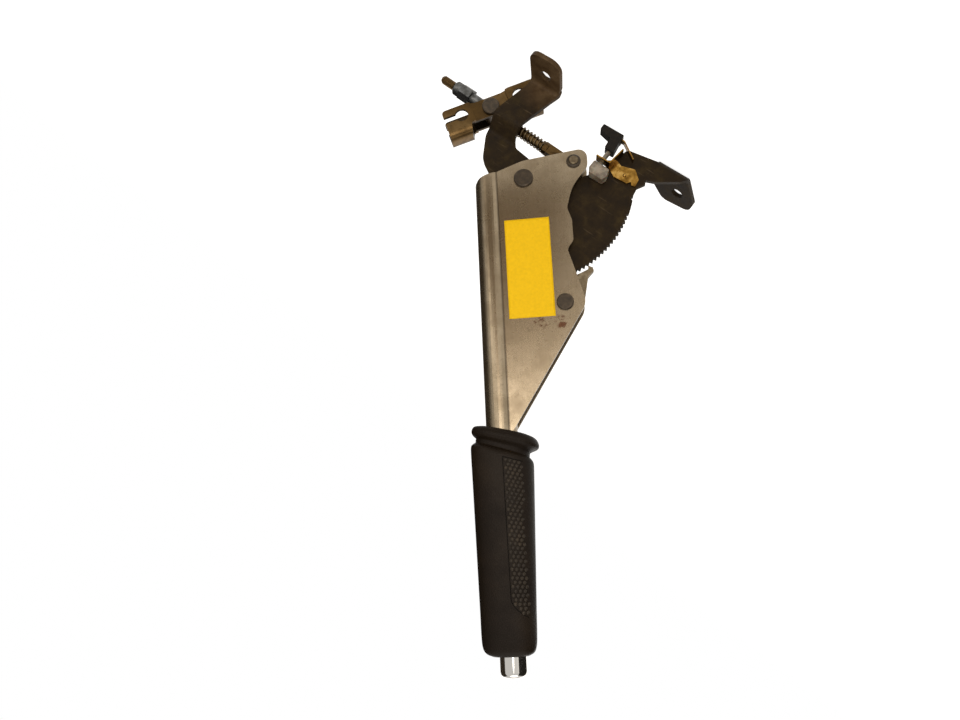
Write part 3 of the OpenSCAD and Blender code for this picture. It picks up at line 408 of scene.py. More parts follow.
# %% Grip finishes
grip_skin, tree, shader, mm = start_finish("grained_soft_black_plastic", 0.0, IOR=1.5,
                                           Specular_IOR_Level=0.09)
pores = add(tree, "ShaderNodeTexVoronoi", {"Vector": mm, "Scale": 1 / 0.7}, feature="SMOOTH_F1")
handled = add(tree, "ShaderNodeTexNoise",
              {"Vector": mm, "Scale": 1 / 26, "Detail": 5.0, "Roughness": 0.6})
tone = add(tree, "ShaderNodeValToRGB", {"Fac": handled.outputs["Fac"]},
           stops=[(0.32, "#130d07"), (0.52, "#18110a"), (0.72, "#1f170e")])
worn = add(tree, "ShaderNodeMapRange",
           {"Value": handled.outputs["Fac"], "From Min": 0.3, "From Max": 0.7, "To Min": 0.62,
            "To Max": 0.46})
grain = add(tree, "ShaderNodeBump",
            {"Height": pores.outputs["Distance"], "Strength": 0.8, "Distance": 0.00016})
give(tree, shader, Base_Color=tone.outputs["Color"], Roughness=worn.outputs["Result"],
     Normal=grain.outputs["Normal"])

dot_skin, tree, shader, mm = start_finish("rubbed_dot_plastic", 0.0, IOR=1.5, Roughness=0.55,
                                          Specular_IOR_Level=0.2)
fingers = add(tree, "ShaderNodeTexNoise", {"Vector": mm, "Scale": 1 / 6, "Detail": 4.0})
tone = add(tree, "ShaderNodeValToRGB", {"Fac": fingers.outputs["Fac"]},
           stops=[(0.3, "#1d160e"), (0.55, "#292117"), (0.75, "#362c20")])
give(tree, shader, Base_Color=tone.outputs["Color"])

# Painted shade: the fine groove's shadow is drawn as a thin near-black wire along the panel's edge.
mould_line, tree, shader, mm = start_finish("shadowed_mould_line", 0.0, Roughness=0.9,
                                            Specular_IOR_Level=0.05)
groove_shade = add(tree, "ShaderNodeTexNoise", {"Vector": mm, "Scale": 1 / 2, "Detail": 3.0})
tone = add(tree, "ShaderNodeValToRGB",
           {"Fac": groove_shade.outputs["Fac"]}, stops=[(0.3, "#070605"), (0.7, "#0e0b08")])
give(tree, shader, Base_Color=tone.outputs["Color"])
print("finishes:", grip_skin.name, dot_skin.name, mould_line.name)

# %% [markdown]
# ## Chrome and sticker paper
# The button's chrome is a mirror with a trace of haze. The sticker is plain yellow paper with
# faint fibres.

# %% Chrome and paper
chrome, tree, shader, mm = start_finish("polished_chrome", 1.0)
shader.inputs["Base Color"].default_value = linear("#bdb9b3")
haze = add(tree, "ShaderNodeTexNoise", {"Vector": mm, "Scale": 1 / 3, "Detail": 5.0})
polish = add(tree, "ShaderNodeMapRange",
             {"Value": haze.outputs["Fac"], "To Min": 0.03, "To Max": 0.12})
give(tree, shader, Roughness=polish.outputs["Result"])

sticker_paper, tree, shader, mm = start_finish("yellow_sticker_paper", 0.0, IOR=1.5, Roughness=0.62,
                                               Specular_IOR_Level=0.2)
fibres = add(tree, "ShaderNodeTexNoise", {"Vector": mm, "Scale": 1 / 1.5, "Detail": 4.0})
tone = add(tree, "ShaderNodeValToRGB", {"Fac": fibres.outputs["Fac"]},
           stops=[(0.3, "#e6b700"), (0.55, "#edbd02"), (0.8, "#f1c306")])
give(tree, shader, Base_Color=tone.outputs["Color"])
print("finishes:", chrome.name, sticker_paper.name)

# %% [markdown]
# ## Making meshes
# A solid's mesh is loose triangles, so a copy of it is merged before it is worked on. A new piece
# is made from its points and faces, and its faces are turned outwards. Modifiers are applied at
# once, so that each piece ends as a plain mesh.

# %% Helpers for meshes
scene = bpy.context.scene
WELD = 0.002 * MM
FLAT_WITHIN, SHARP_FROM = math.radians(0.6), math.radians(24)


def merged_copy(node):
    """A shape with a solid's triangles, merged at their corners."""
    shape = bmesh.new()
    shape.from_mesh(frame["nodes"][node].data)
    bmesh.ops.remove_doubles(shape, verts=shape.verts, dist=WELD)
    return shape


def shade_smooth(mesh):
    """Shades every face of a mesh smooth and hands the mesh back."""
    mesh.polygons.foreach_set("use_smooth", [True] * len(mesh.polygons))
    return mesh


def joined_mesh(name, shape):
    """Joins a shape's flat triangles and writes it to a mesh with its sharp edges marked."""
    bmesh.ops.dissolve_limit(shape, angle_limit=FLAT_WITHIN, verts=shape.verts, edges=shape.edges)
    mesh = bpy.data.meshes.new(name)
    shape.to_mesh(mesh)
    shape.free()
    shade_smooth(mesh).set_sharp_from_angle(angle=SHARP_FROM)
    return mesh


def outward_mesh(name, points, faces):
    """A smooth mesh from points and faces, with its faces turned outwards."""
    mesh = bpy.data.meshes.new(name)
    mesh.from_pydata(points, [], faces)
    shape = bmesh.new()
    shape.from_mesh(mesh)
    bmesh.ops.recalc_face_normals(shape, faces=shape.faces)
    shape.to_mesh(mesh)
    shape.free()
    return shade_smooth(mesh)


def new_object(name, mesh, material):
    """An object of the scene with a mesh and, where one is given, a single material."""
    obj = bpy.data.objects.new(name, mesh)
    scene.collection.objects.link(obj)
    if material is not None:
        mesh.materials.clear()
        mesh.materials.append(material)
    return obj


def to_plain_mesh(obj):
    """Applies an object's modifiers and leaves a plain mesh."""
    graph = bpy.context.evaluated_depsgraph_get()
    made = bpy.data.meshes.new_from_object(obj.evaluated_get(graph), preserve_all_data_layers=True,
                                           depsgraph=graph)
    obj.modifiers.clear()
    obj.data = made
    return obj


print("edges sharper than", round(math.degrees(SHARP_FROM)), "degrees are rounded")

# %% [markdown]
# ## Softening pressed and turned edges
# No real edge is a perfect corner: a pressed or turned edge has a radius of a few tenths, and
# that radius is what catches the light. On a copy of each solid, a bevel with weighted normals
# rounds the sharp edges. The copy then stands for the solid. The equaliser's ends are half-round
# at the fold in the solid; on the copy that fold is squared, with a flat between two bends.

# %% Softened copies
FOLD_CENTRE, FOLD_POWER, RAISED_END = 5.2, 3.2, 12.4


def square_fold(point):
    """Moves a point of the equaliser's half-round fold out to a flat fold with two bend radii."""
    place = point / MM - TRUNNION
    depth = place.dot(CHANNEL_DEEP) - FOLD_CENTRE
    if depth <= 0.0 or abs(place.dot(CHANNEL_ALONG)) < RAISED_END:
        return point
    size = math.hypot(place.y, depth)
    grow = (abs(place.y / size) ** FOLD_POWER + (depth / size) ** FOLD_POWER) ** (-1 / FOLD_POWER)
    return point + (ACROSS * place.y + CHANNEL_DEEP * depth) * (grow - 1) * MM


def soften(node, material, radius, body):
    """A copy of a solid with rounded edges, riding on the same body."""
    shape = merged_copy(node)
    if node == "equaliser":
        for vert in shape.verts:
            vert.co = square_fold(vert.co)
    obj = new_object("soft_" + node, joined_mesh("edge_" + node, shape), material)
    bevel = obj.modifiers.new("edge", "BEVEL")
    bevel.width = radius * MM
    bevel.segments = 2
    bevel.limit_method = "ANGLE"
    bevel.angle_limit = SHARP_FROM
    bevel.use_clamp_overlap = True
    bevel.miter_outer = "MITER_ARC"
    level = obj.modifiers.new("level", "WEIGHTED_NORMAL")
    level.keep_sharp = True
    to_plain_mesh(obj)
    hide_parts(node)
    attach(obj, body)


print("fold squared from", RAISED_END, "mm off the trunnion")

# %% Each solid's finish and edge radius in millimetres
bodies = frame["record"]["behaviour"]["bodies"]
body_of = {node: body for body, nodes in bodies.items() for node in nodes}
finishes = {
    "base_bracket": (phosphate, 0.35), "lever_arm": (lever_steel, 0.25),
    "equaliser": (gold_channel, 0.3), "pawl": (plain_steel, 0.25), "pivot_bush": (plain_steel, 0.2),
    "pawl_spacers": (plain_steel, 0.2), "pivot_pin": (rivet_black, 0.2),
    "pawl_pin": (rivet_black, 0.2), "clevis_pin": (plain_steel, 0.2),
    "clevis_clip": (rivet_black, 0.15), "trunnion": (rivet_black, 0.25),
    "adjuster_nut": (nut_zinc, 0.3), "push_rod": (plain_steel, 0.2), "rod_guide": (nylon, 0.3),
    "switch_bracket": (brass_strip, 0.2), "switch_terminal": (brass_strip, 0.2),
    "switch_insulator": (black_moulding, 0.25), "switch_plunger": (nylon, 0.35),
    "button": (chrome, 0.3)}
for node, (material, radius) in finishes.items():
    soften(node, material, radius, body_of[node])
print("softened:", len(finishes), "solids")

# %% [markdown]
# ## Springs from one wire tree
# A coil spring is a round wire swept along a helix, so one Geometry Nodes tree makes every
# spring: it turns a chain of edges into a curve, sweeps a small circle along it and sets the
# material. Its inputs are the wire's radius and the number of sides. The springs of the button
# and the plunger are not attached to a body; their places are baked into their meshes.

# %% The wire tree
wire_tree = bpy.data.node_groups.new("round_wire", "GeometryNodeTree")
sockets = wire_tree.interface
sockets.new_socket("Path", in_out="INPUT", socket_type="NodeSocketGeometry")
wire_radius = sockets.new_socket("Wire radius", in_out="INPUT", socket_type="NodeSocketFloat")
wire_sides = sockets.new_socket("Sides", in_out="INPUT", socket_type="NodeSocketInt")
wire_finish = sockets.new_socket("Finish", in_out="INPUT", socket_type="NodeSocketMaterial")
sockets.new_socket("Wire", in_out="OUTPUT", socket_type="NodeSocketGeometry")
given = add(wire_tree, "NodeGroupInput")
path = add(wire_tree, "GeometryNodeMeshToCurve", {"Mesh": given.outputs["Path"]})
section = add(wire_tree, "GeometryNodeCurvePrimitiveCircle",
              {"Resolution": given.outputs["Sides"], "Radius": given.outputs["Wire radius"]})
swept = add(wire_tree, "GeometryNodeCurveToMesh",
            {"Curve": path.outputs["Curve"], "Profile Curve": section.outputs["Curve"],
             "Fill Caps": True})
smooth = add(wire_tree, "GeometryNodeSetShadeSmooth", {"Geometry": swept.outputs["Mesh"]})
solid = add(wire_tree, "GeometryNodeRealizeInstances", {"Geometry": smooth.outputs["Geometry"]})
dressed = add(wire_tree, "GeometryNodeSetMaterial",
              {"Geometry": solid.outputs["Geometry"], "Material": given.outputs["Finish"]})
add(wire_tree, "NodeGroupOutput", {"Wire": dressed.outputs["Geometry"]})


def wire_piece(name, points, radius, material, sides=10):
    """A round wire along a list of points in metres."""
    mesh = bpy.data.meshes.new(name)
    mesh.from_pydata(points, [(i, i + 1) for i in range(len(points) - 1)], [])
    obj = new_object(name, mesh, None)
    sweep = obj.modifiers.new("sweep", "NODES")
    sweep.node_group = wire_tree
    sweep[wire_radius.identifier] = radius * MM
    sweep[wire_sides.identifier] = sides
    sweep[wire_finish.identifier] = material
    return to_plain_mesh(obj)


print("wire tree nodes:", len(wire_tree.nodes))

# %% Routes of the springs
ROD_COIL, BUTTON_COIL, PLUNGER_COIL = (24.04, 63.46), (229.54, 261.46), (24.44, 32.66)
PLUNGER_X, PLUNGER_Y = 6.45, 5.8


def in_tube(u, a, b):
    """A place around the spine's axis, at a distance along the lever."""
    return on_lever(u, a, SPINE_V + b)


def over_shelf(z, a, b):
    """A place around the plunger's axis, at a height over the floor."""
    return Vector((PLUNGER_X + a, PLUNGER_Y + b, z)) * MM


def coil(ends, radius, turns, wire, place, steps=24):
    """Points of a compression spring with a closed turn at each end."""
    start, end = ends
    span = end - start - 3 * wire
    points = []
    for i in range(turns * steps + 1):
        t = i / steps
        if t < 1:
            rise = t * wire
        elif t > turns - 1:
            rise = span + 2 * wire - (turns - t) * wire
        else:
            rise = wire + (t - 1) * span / (turns - 2)
        angle = 2 * math.pi * t
        points.append(place(start + wire / 2 + rise, radius * math.cos(angle),
                            radius * math.sin(angle)))
    return points


# The pawl spring is a short coil around the pawl pin with a straight leg at each end.
PIN_U, PIN_V, LOOP_R = 85.5, -20.8, 5.65
LOOP_START, LOOP_SWEEP, LOOP_STEPS = 200, 810, 72
LOOP_H, LOOP_WIDE = 3.2, 2.0
LEAD, TAIL = 14, 16


def by_pawl_pin(share, leg=0.0):
    """A place on the coil around the pawl pin, or off it along the wire by a leg's length."""
    angle = math.radians(LOOP_START + LOOP_SWEEP * share)
    return on_lever(PIN_U + LOOP_R * math.cos(angle) - leg * math.sin(angle),
                    LOOP_H + LOOP_WIDE * share,
                    PIN_V + LOOP_R * math.sin(angle) + leg * math.cos(angle))


loop = [by_pawl_pin(i / LOOP_STEPS) for i in range(LOOP_STEPS + 1)]
wires = {"rod_spring": 1.0, "button_spring": 1.1, "plunger_spring": 0.5, "pawl_spring": 0.9}
routes = {
    "rod_spring": coil(ROD_COIL, 3.6, 15, wires["rod_spring"], on_rod),
    "button_spring": coil(BUTTON_COIL, 4.7, 8, wires["button_spring"], in_tube),
    "plunger_spring": coil(PLUNGER_COIL, 2.25, 6, wires["plunger_spring"], over_shelf),
    "pawl_spring": [by_pawl_pin(0, -LEAD)] + loop + [by_pawl_pin(1, TAIL)]}
print("points along the springs:", {node: len(route) for node, route in routes.items()})

# %% Springs
pressed = {
    "button_spring": ("lever", "release", *[in_tube(u, 0, 0) for u in BUTTON_COIL]),
    "plunger_spring": ("base", "plunger", *[over_shelf(z, 0, 0) for z in PLUNGER_COIL])}
for node, route in routes.items():
    piece = wire_piece("wire_" + node, route, wires[node] / 2, spring_wire)
    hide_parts(node)
    if node in pressed:
        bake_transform(piece)
    else:
        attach(piece, body_of[node])
print("springs:", sorted(routes))

# %% [markdown]
# ## A real thread on the pull rod
# The solid rod is a plain cylinder. Here its eye and neck are kept from the solid, cut off behind
# the spring, and the rest is a true helical thread with a 1 mm pitch: a tube whose radius follows
# the helix. Crests reach the solid's radius and roots lie 0.55 mm below it. The thread fades in
# at the cut and is chamfered at the rod's end.

# %% Threaded pull rod
ROD_R, ROD_LEN, PITCH, CUT = 2.95, 113.5, 1.0, 66.0
ROOT, FLANK_GAIN, ROOT_FLAT = 0.55, 1.25, 0.1
FADE_FROM, FADE_LEN = 1.0, 1.5
CHAMFER, CHAMFER_LEN = 1.0, 1.5
AROUND, PER_TURN = 40, 8
shape = merged_copy("pull_rod")
bmesh.ops.bisect_plane(shape, geom=shape.verts[:] + shape.edges[:] + shape.faces[:],
                       plane_co=on_rod(CUT, 0, 0), plane_no=ROD_ALONG, clear_outer=True)
rod_neck = new_object("rod_neck", joined_mesh("rod_neck", shape), gold_zinc)


def thread_radius(s, share):
    """Radius of the thread at a distance along the rod and a share of a turn around it."""
    phase = (s / PITCH - share) % 1.0
    tooth = min(1.0, max(0.0, FLANK_GAIN * abs(2 * phase - 1) - ROOT_FLAT))
    fade = min(1.0, max(0.0, (s - CUT - FADE_FROM) / FADE_LEN))
    return min(ROD_R - ROOT * (1 - tooth) * fade, ROD_R - CHAMFER + (ROD_LEN - s) / CHAMFER_LEN)


rows = int((ROD_LEN - CUT) / PITCH * PER_TURN)
points, faces = [], []
for i in range(rows + 1):
    s = CUT + (ROD_LEN - CUT) * i / rows
    for k in range(AROUND):
        angle = 2 * math.pi * k / AROUND
        r = thread_radius(s, k / AROUND)
        points.append(on_rod(s, r * math.cos(angle), r * math.sin(angle)))
for i in range(rows):
    for k in range(AROUND):
        n = (k + 1) % AROUND
        faces.append((i * AROUND + k, i * AROUND + n, (i + 1) * AROUND + n, (i + 1) * AROUND + k))
faces.append([rows * AROUND + k for k in range(AROUND)])
rod_thread = new_object("rod_thread", outward_mesh("rod_thread", points, faces), gold_zinc)
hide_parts("pull_rod")
for piece in (rod_neck, rod_thread):
    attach(piece, "rod")
print("thread faces:", len(faces))

# %% [markdown]
# ## The moulded grip
# The grip is a loft: rings along the lever with their own height, width and lean, joined into a
# skin. The solid uses a few flat-sided rings. Here the same rings are blended smoothly and
# sampled far more finely, and the bore is left to the tube inside. Both ends are closed down to
# the tube and to the button.

# %% Rings of the grip: distance along it, half height, half width, rise of the centre, lean
GRIP_LEN, GRIP_END, GRIP_START = 117.0, 287.5, 170.5
COLLAR_END = -8.7
H0, W0, H1, W1 = 18.5, 15.5, 15.5, 13.33
LEAN = math.tan(math.radians(14.5))
SQUARE = 0.72
TAPER_RINGS = 6
rings = [(COLLAR_END, H0 - 4, W0 - 4, -1.4, 0.95), (-7.6, H0 - 0.6, W0 - 0.8, -1.6, 0.95),
         (-5.6, H0 + 1.1, W0 + 0.6, -1.75, 0.95), (-3.6, H0 + 1.45, W0 + 0.9, -1.75, 0.95),
         (-1.8, H0 + 0.5, W0, -1.6, 1.0), (-0.7, H0 - 1.4, W0 - 1.8, -1.0, 1.1),
         (0.2, H0 - 2.6, W0 - 2.8, -0.2, 1.2), (2.6, H0 - 2.6, W0 - 2.8, 0.2, 1.25),
         (3.4, H0 - 1.6, W0 - 1.6, 0.4, 1.2), (5.0, H0 - 0.3, W0 - 0.3, 0.5, 1.16),
         (8.0, H0, W0, 0.5, 1.1)]
for i in range(1, TAPER_RINGS + 1):
    t = i / (TAPER_RINGS + 1)
    rings.append((8 + (GRIP_LEN - 16) * t, H0 + (H1 - H0) * t, W0 + (W1 - W0) * t, 0.5 + t,
                  1.1 * (1 - t)))
rings += [(GRIP_LEN - 8, H1, W1, 1.5, 0.0), (GRIP_LEN - 3.5, H1 - 0.7, W1 - 0.6, 1.4, 0.0),
          (GRIP_LEN - 1.2, H1 - 2.2, W1 - 2, 1.1, 0.0), (GRIP_LEN, H1 - 4.6, W1 - 4, 0.8, 0.0)]


def ring_at(along):
    """Half height, half width, centre and lean at a distance along the grip, by a smooth cubic."""
    for i in range(len(rings) - 1):
        if along <= rings[i + 1][0]:
            break
    p0, p1 = rings[max(i - 1, 0)], rings[i]
    p2, p3 = rings[i + 1], rings[min(i + 2, len(rings) - 1)]
    step = p2[0] - p1[0]
    t = (along - p1[0]) / step
    values = []
    for a, b, c, d in zip(p0[1:], p1[1:], p2[1:], p3[1:]):
        m1 = (c - a) / (p2[0] - p0[0]) * step
        m2 = (d - b) / (p3[0] - p1[0]) * step
        m1 = m1 if (c - b) * m1 > 0 else 0.0
        m2 = m2 if (c - b) * m2 > 0 else 0.0
        values.append((2 * t ** 3 - 3 * t ** 2 + 1) * b + (t ** 3 - 2 * t ** 2 + t) * m1
                      + (3 * t ** 2 - 2 * t ** 3) * c + (t ** 3 - t ** 2) * m2)
    return values


def grip_point(along, turn, proud=0.0):
    """Point on the grip's skin, a little proud of it where asked."""
    height, width, centre, lean = ring_at(along)
    c, s = math.cos(turn), math.sin(turn)
    v = (height + proud) * math.copysign(abs(s) ** SQUARE, s)
    h = (width + proud) * math.copysign(abs(c) ** SQUARE, c)
    return on_lever(GRIP_START + along - lean * v * LEAN, h, SPINE_V + centre + v)


print("rings:", len(rings))

# %% Grip skin
SIDES = 112
COLLAR_STEP, END_STEP, END_LEN = 0.35, 0.45, 9
COLLAR_RINGS, MIDDLE_RINGS, END_RINGS = 50, 60, 20
angles = [2 * math.pi * k / SIDES for k in range(SIDES)]
stations = [COLLAR_END + COLLAR_STEP * i for i in range(COLLAR_RINGS)]
collar_stop, end_start = stations[-1], GRIP_LEN - END_LEN
stations += [collar_stop + (end_start - collar_stop) * i / MIDDLE_RINGS
             for i in range(1, MIDDLE_RINGS + 1)]
stations += [end_start + END_STEP * i for i in range(1, END_RINGS + 1)]
stations = [along for along in stations if along <= GRIP_LEN]


def close_to(radius, u):
    """One more ring that closes an end onto the round piece inside."""
    lean = LEAN if u < GRIP_START else 0.0
    return [on_lever(u - lean * radius * math.sin(a), radius * math.cos(a),
                     SPINE_V + radius * math.sin(a)) for a in angles]


skin_rings = [close_to(9.6, GRIP_START - 7.0), close_to(10.6, GRIP_START - 8.4)]
skin_rings += [[grip_point(along, a) for a in angles] for along in stations]
skin_rings += [close_to(8.6, GRIP_END), close_to(7.95, GRIP_END - 0.5),
               close_to(7.85, GRIP_END - 2.0)]
points = [point for ring in skin_rings for point in ring]
faces = []
for i in range(len(skin_rings) - 1):
    for k in range(SIDES):
        n = (k + 1) % SIDES
        faces.append((i * SIDES + k, (i + 1) * SIDES + k, (i + 1) * SIDES + n, i * SIDES + n))
grip_piece = new_object("grip_skin", outward_mesh("grip_skin", points, faces), grip_skin)
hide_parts("grip")
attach(grip_piece, "lever")
print("grip faces:", len(faces))

# %% [markdown]
# ## Dots on the grip's side panels
# A panel of small round dots runs along each side, down to where the grip turns under, in
# staggered rows 2.7 mm apart. A fine dark mould line bounds it at the back, top and front. The
# dots repeat, so a Geometry Nodes tree puts a small dome on each point of a chart and turns it to
# the skin's normal, which the chart carries as an attribute. The near half is worked out and
# mirrored to the far half.

# %% The dot tree
dot_tree = bpy.data.node_groups.new("panel_dots", "GeometryNodeTree")
sockets = dot_tree.interface
sockets.new_socket("Chart", in_out="INPUT", socket_type="NodeSocketGeometry")
dot_size = sockets.new_socket("Dot radius", in_out="INPUT", socket_type="NodeSocketFloat")
dot_finish = sockets.new_socket("Finish", in_out="INPUT", socket_type="NodeSocketMaterial")
sockets.new_socket("Dots", in_out="OUTPUT", socket_type="NodeSocketGeometry")
given = add(dot_tree, "NodeGroupInput")
dome = add(dot_tree, "GeometryNodeMeshUVSphere",
           {"Segments": 10, "Rings": 6, "Radius": given.outputs["Dot radius"]})
flat = add(dot_tree, "GeometryNodeTransform",
           {"Geometry": dome.outputs["Mesh"], "Scale": (1.0, 1.0, 0.45)})
smooth = add(dot_tree, "GeometryNodeSetShadeSmooth", {"Geometry": flat.outputs["Geometry"]})
facing = add(dot_tree, "GeometryNodeInputNamedAttribute",
             {"Name": "facing"}, data_type="FLOAT_VECTOR")
aim = add(dot_tree, "FunctionNodeAlignRotationToVector",
          {"Vector": facing.outputs["Attribute"]}, axis="Z")
spots = add(dot_tree, "GeometryNodeMeshToPoints", {"Mesh": given.outputs["Chart"]})
placed = add(dot_tree, "GeometryNodeInstanceOnPoints",
             {"Points": spots.outputs["Points"], "Instance": smooth.outputs["Geometry"],
              "Rotation": aim.outputs["Rotation"]})
solid = add(dot_tree, "GeometryNodeRealizeInstances", {"Geometry": placed.outputs["Instances"]})
dressed = add(dot_tree, "GeometryNodeSetMaterial",
              {"Geometry": solid.outputs["Geometry"], "Material": given.outputs["Finish"]})
add(dot_tree, "NodeGroupOutput", {"Dots": dressed.outputs["Geometry"]})
print("dot tree nodes:", len(dot_tree.nodes))

# %% Places on a panel
PANEL_START, PANEL_STOP, PANEL_TOP, PANEL_FOLD = 7.6, 96.0, 21.8, 10.4
SLOPE_START, SLOPE_LEN, SLOPE_DROP = 8, 82, 0.8
CURVE_START, CURVE_LEN, CURVE_DROP = 86, 10, 9.0
NUDGE_ALONG, NUDGE_TURN = 0.2, 0.01


def side_turn(along, v):
    """Angle on the near half of the ring where the skin has height v."""
    height, _, centre, _ = ring_at(along)
    s = max(-0.999, min(0.999, (v - SPINE_V - centre) / height))
    return math.asin(math.copysign(abs(s) ** (1 / SQUARE), s))


def skin_normal(along, turn):
    """Outward direction of the skin at a place on the near half."""
    here = grip_point(along, turn)
    ahead = grip_point(along + NUDGE_ALONG, turn) - here
    beside = grip_point(along, turn + NUDGE_TURN) - here
    out = ahead.cross(beside).normalized()
    middle = on_lever(GRIP_START + along, 0.0, SPINE_V)
    return out if out.dot(here - middle) > 0 else -out


def panel_top(along):
    """Height of the panel's upper edge, which curves in towards its front end."""
    sloped = SLOPE_DROP * (along - SLOPE_START) / SLOPE_LEN
    curved = max(0.0, (along - CURVE_START) / CURVE_LEN)
    return PANEL_TOP - sloped - CURVE_DROP * curved ** 2


def far_side(point):
    """A point or a direction, mirrored to the far half."""
    return Vector((point.x, -point.y, point.z))


print("panel:", PANEL_STOP - PANEL_START, "mm along the grip")

# %% Chart of the dots
DOT_R, DOT_PITCH, ROW_STEP = 1.12, 2.7, 0.87
TOP_MARGIN, FOLD_MARGIN, REAR_MARGIN, FRONT_MARGIN = 1.4, 0.9, 1.3, 1.0
points, facings = [], []
row, along = 0, PANEL_START + REAR_MARGIN
while along < PANEL_STOP - FRONT_MARGIN:
    turn = side_turn(along, panel_top(along))
    lowest = side_turn(along, PANEL_FOLD + FOLD_MARGIN)
    walked, wanted = 0.0, TOP_MARGIN + (DOT_PITCH / 2 if row % 2 else 0.0)
    here = grip_point(along, turn)
    while turn > lowest:
        turn -= NUDGE_TURN
        ahead = grip_point(along, turn)
        walked += (ahead - here).length / MM
        here = ahead
        if walked >= wanted:
            wanted += DOT_PITCH
            points.append(here)
            facings.append(skin_normal(along, turn))
    along += DOT_PITCH * ROW_STEP
    row += 1
points += [far_side(point) for point in points]
facings += [far_side(way) for way in facings]
chart = bpy.data.meshes.new("panel_chart")
chart.from_pydata(points, [], [])
spread = chart.attributes.new("facing", "FLOAT_VECTOR", "POINT")
spread.data.foreach_set("vector", [c for way in facings for c in way])
print("dots:", len(points))

# %% Dots and mould lines
# The mould line's wire carries the groove's painted shade.
LINE_R, LINE_SUNK = 0.2, 0.04
REAR_STEPS, TOP_STEPS = 12, 80
dots = new_object("panel_dots", chart, None)
build = dots.modifiers.new("dots", "NODES")
build.node_group = dot_tree
build[dot_size.identifier] = DOT_R * MM
build[dot_finish.identifier] = dot_skin
panel_pieces = [to_plain_mesh(dots)]
top_turn, fold_turn = [side_turn(PANEL_START, v) for v in (PANEL_TOP, PANEL_FOLD)]
near_line = []
for i in range(REAR_STEPS, -1, -1):
    turn = top_turn * (1 - i / REAR_STEPS) + fold_turn * i / REAR_STEPS
    near_line.append(grip_point(PANEL_START, turn, -LINE_SUNK))
for i in range(TOP_STEPS + 1):
    along = PANEL_START + (PANEL_STOP - PANEL_START) * i / TOP_STEPS
    near_line.append(grip_point(along, side_turn(along, panel_top(along)), -LINE_SUNK))
for side, line in (("left", near_line), ("right", [far_side(point) for point in near_line])):
    panel_pieces.append(wire_piece("panel_line_" + side, line, LINE_R, mould_line, 6))
for piece in panel_pieces:
    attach(piece, "lever")
print("panel pieces:", [piece.name for piece in panel_pieces])

# %% [markdown]
# ## A plain sticker on the near flank
# A blank yellow paper label is stuck to the flank between the pivot and the pawl rivet. It is a
# thin sheet with a slight lift at two corners, so that its edge throws a fine shadow.

# %% Sticker
STICKER_U, STICKER_V, STICKER_LONG, STICKER_WIDE = 28.3, -14.5, 65.6, 28.4
PAPER, GLUE = 0.09, 0.05
FRONT_LIFT, FRONT_FROM, REAR_LIFT, REAR_FROM = 0.25, 0.86, 0.2, 0.88
COLS, ROWS = 40, 18
points, faces = [], []
for j in range(ROWS + 1):
    for i in range(COLS + 1):
        a, b = i / COLS, j / ROWS
        front_lift = FRONT_LIFT * max(0.0, a * b - FRONT_FROM) / (1 - FRONT_FROM)
        rear_lift = REAR_LIFT * max(0.0, (1 - a) * (1 - b) - REAR_FROM) / (1 - REAR_FROM)
        points.append(on_lever(STICKER_U + STICKER_LONG * a,
                               FLANK_H + GLUE + front_lift + rear_lift,
                               STICKER_V + STICKER_WIDE * b))
for j in range(ROWS):
    for i in range(COLS):
        k = j * (COLS + 1) + i
        faces.append((k, k + COLS + 1, k + COLS + 2, k + 1))
sticker = new_object("sticker", outward_mesh("sticker", points, faces), sticker_paper)
thick = sticker.modifiers.new("paper", "SOLIDIFY")
thick.thickness = PAPER * MM
thick.offset = 0.0
to_plain_mesh(sticker)
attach(sticker, "lever")
print("sticker:", len(sticker.data.polygons), "faces")

# %% [markdown]
# ## Floor and world
# The floor is pale and wide. Its material and the world show white to the camera and to
# reflections, while the lamps and a dimmer world light the object at a plain level.

# %% Floor and world
FLOOR_Z, FLOOR_HALF = -0.0004, 6


def seen(tree):
    """Output that is 1 for what the camera, a mirror or glass sees, and 0 for plain light."""
    light_path = add(tree, "ShaderNodeLightPath")
    reflected = add(tree, "ShaderNodeMath",
                    {0: light_path.outputs["Is Glossy Ray"],
                     1: light_path.outputs["Is Transmission Ray"]}, operation="MAXIMUM")
    either = add(tree, "ShaderNodeMath",
                 {0: light_path.outputs["Is Camera Ray"], 1: reflected.outputs["Value"]},
                 operation="MAXIMUM")
    return either.outputs["Value"]


white = bpy.data.materials.new("pale_floor")
white.use_nodes = True
tree = white.node_tree
tree.nodes.clear()
matt = add(tree, "ShaderNodeBsdfDiffuse", {"Color": linear("#efefed")})
glow = add(tree, "ShaderNodeMath", {0: seen(tree), 1: 0.84}, operation="MULTIPLY")
pale = add(tree, "ShaderNodeEmission", {"Strength": glow.outputs["Value"]})
both = add(tree, "ShaderNodeAddShader", {0: matt.outputs["BSDF"], 1: pale.outputs["Emission"]})
add(tree, "ShaderNodeOutputMaterial", {"Surface": both.outputs["Shader"]})
ground = bpy.data.meshes.new("floor")
ground.from_pydata([(x * FLOOR_HALF, y * FLOOR_HALF, FLOOR_Z)
                    for x, y in ((-1, -1), (1, -1), (1, 1), (-1, 1))], [], [(0, 1, 2, 3)])
floor = new_object("floor", ground, white)

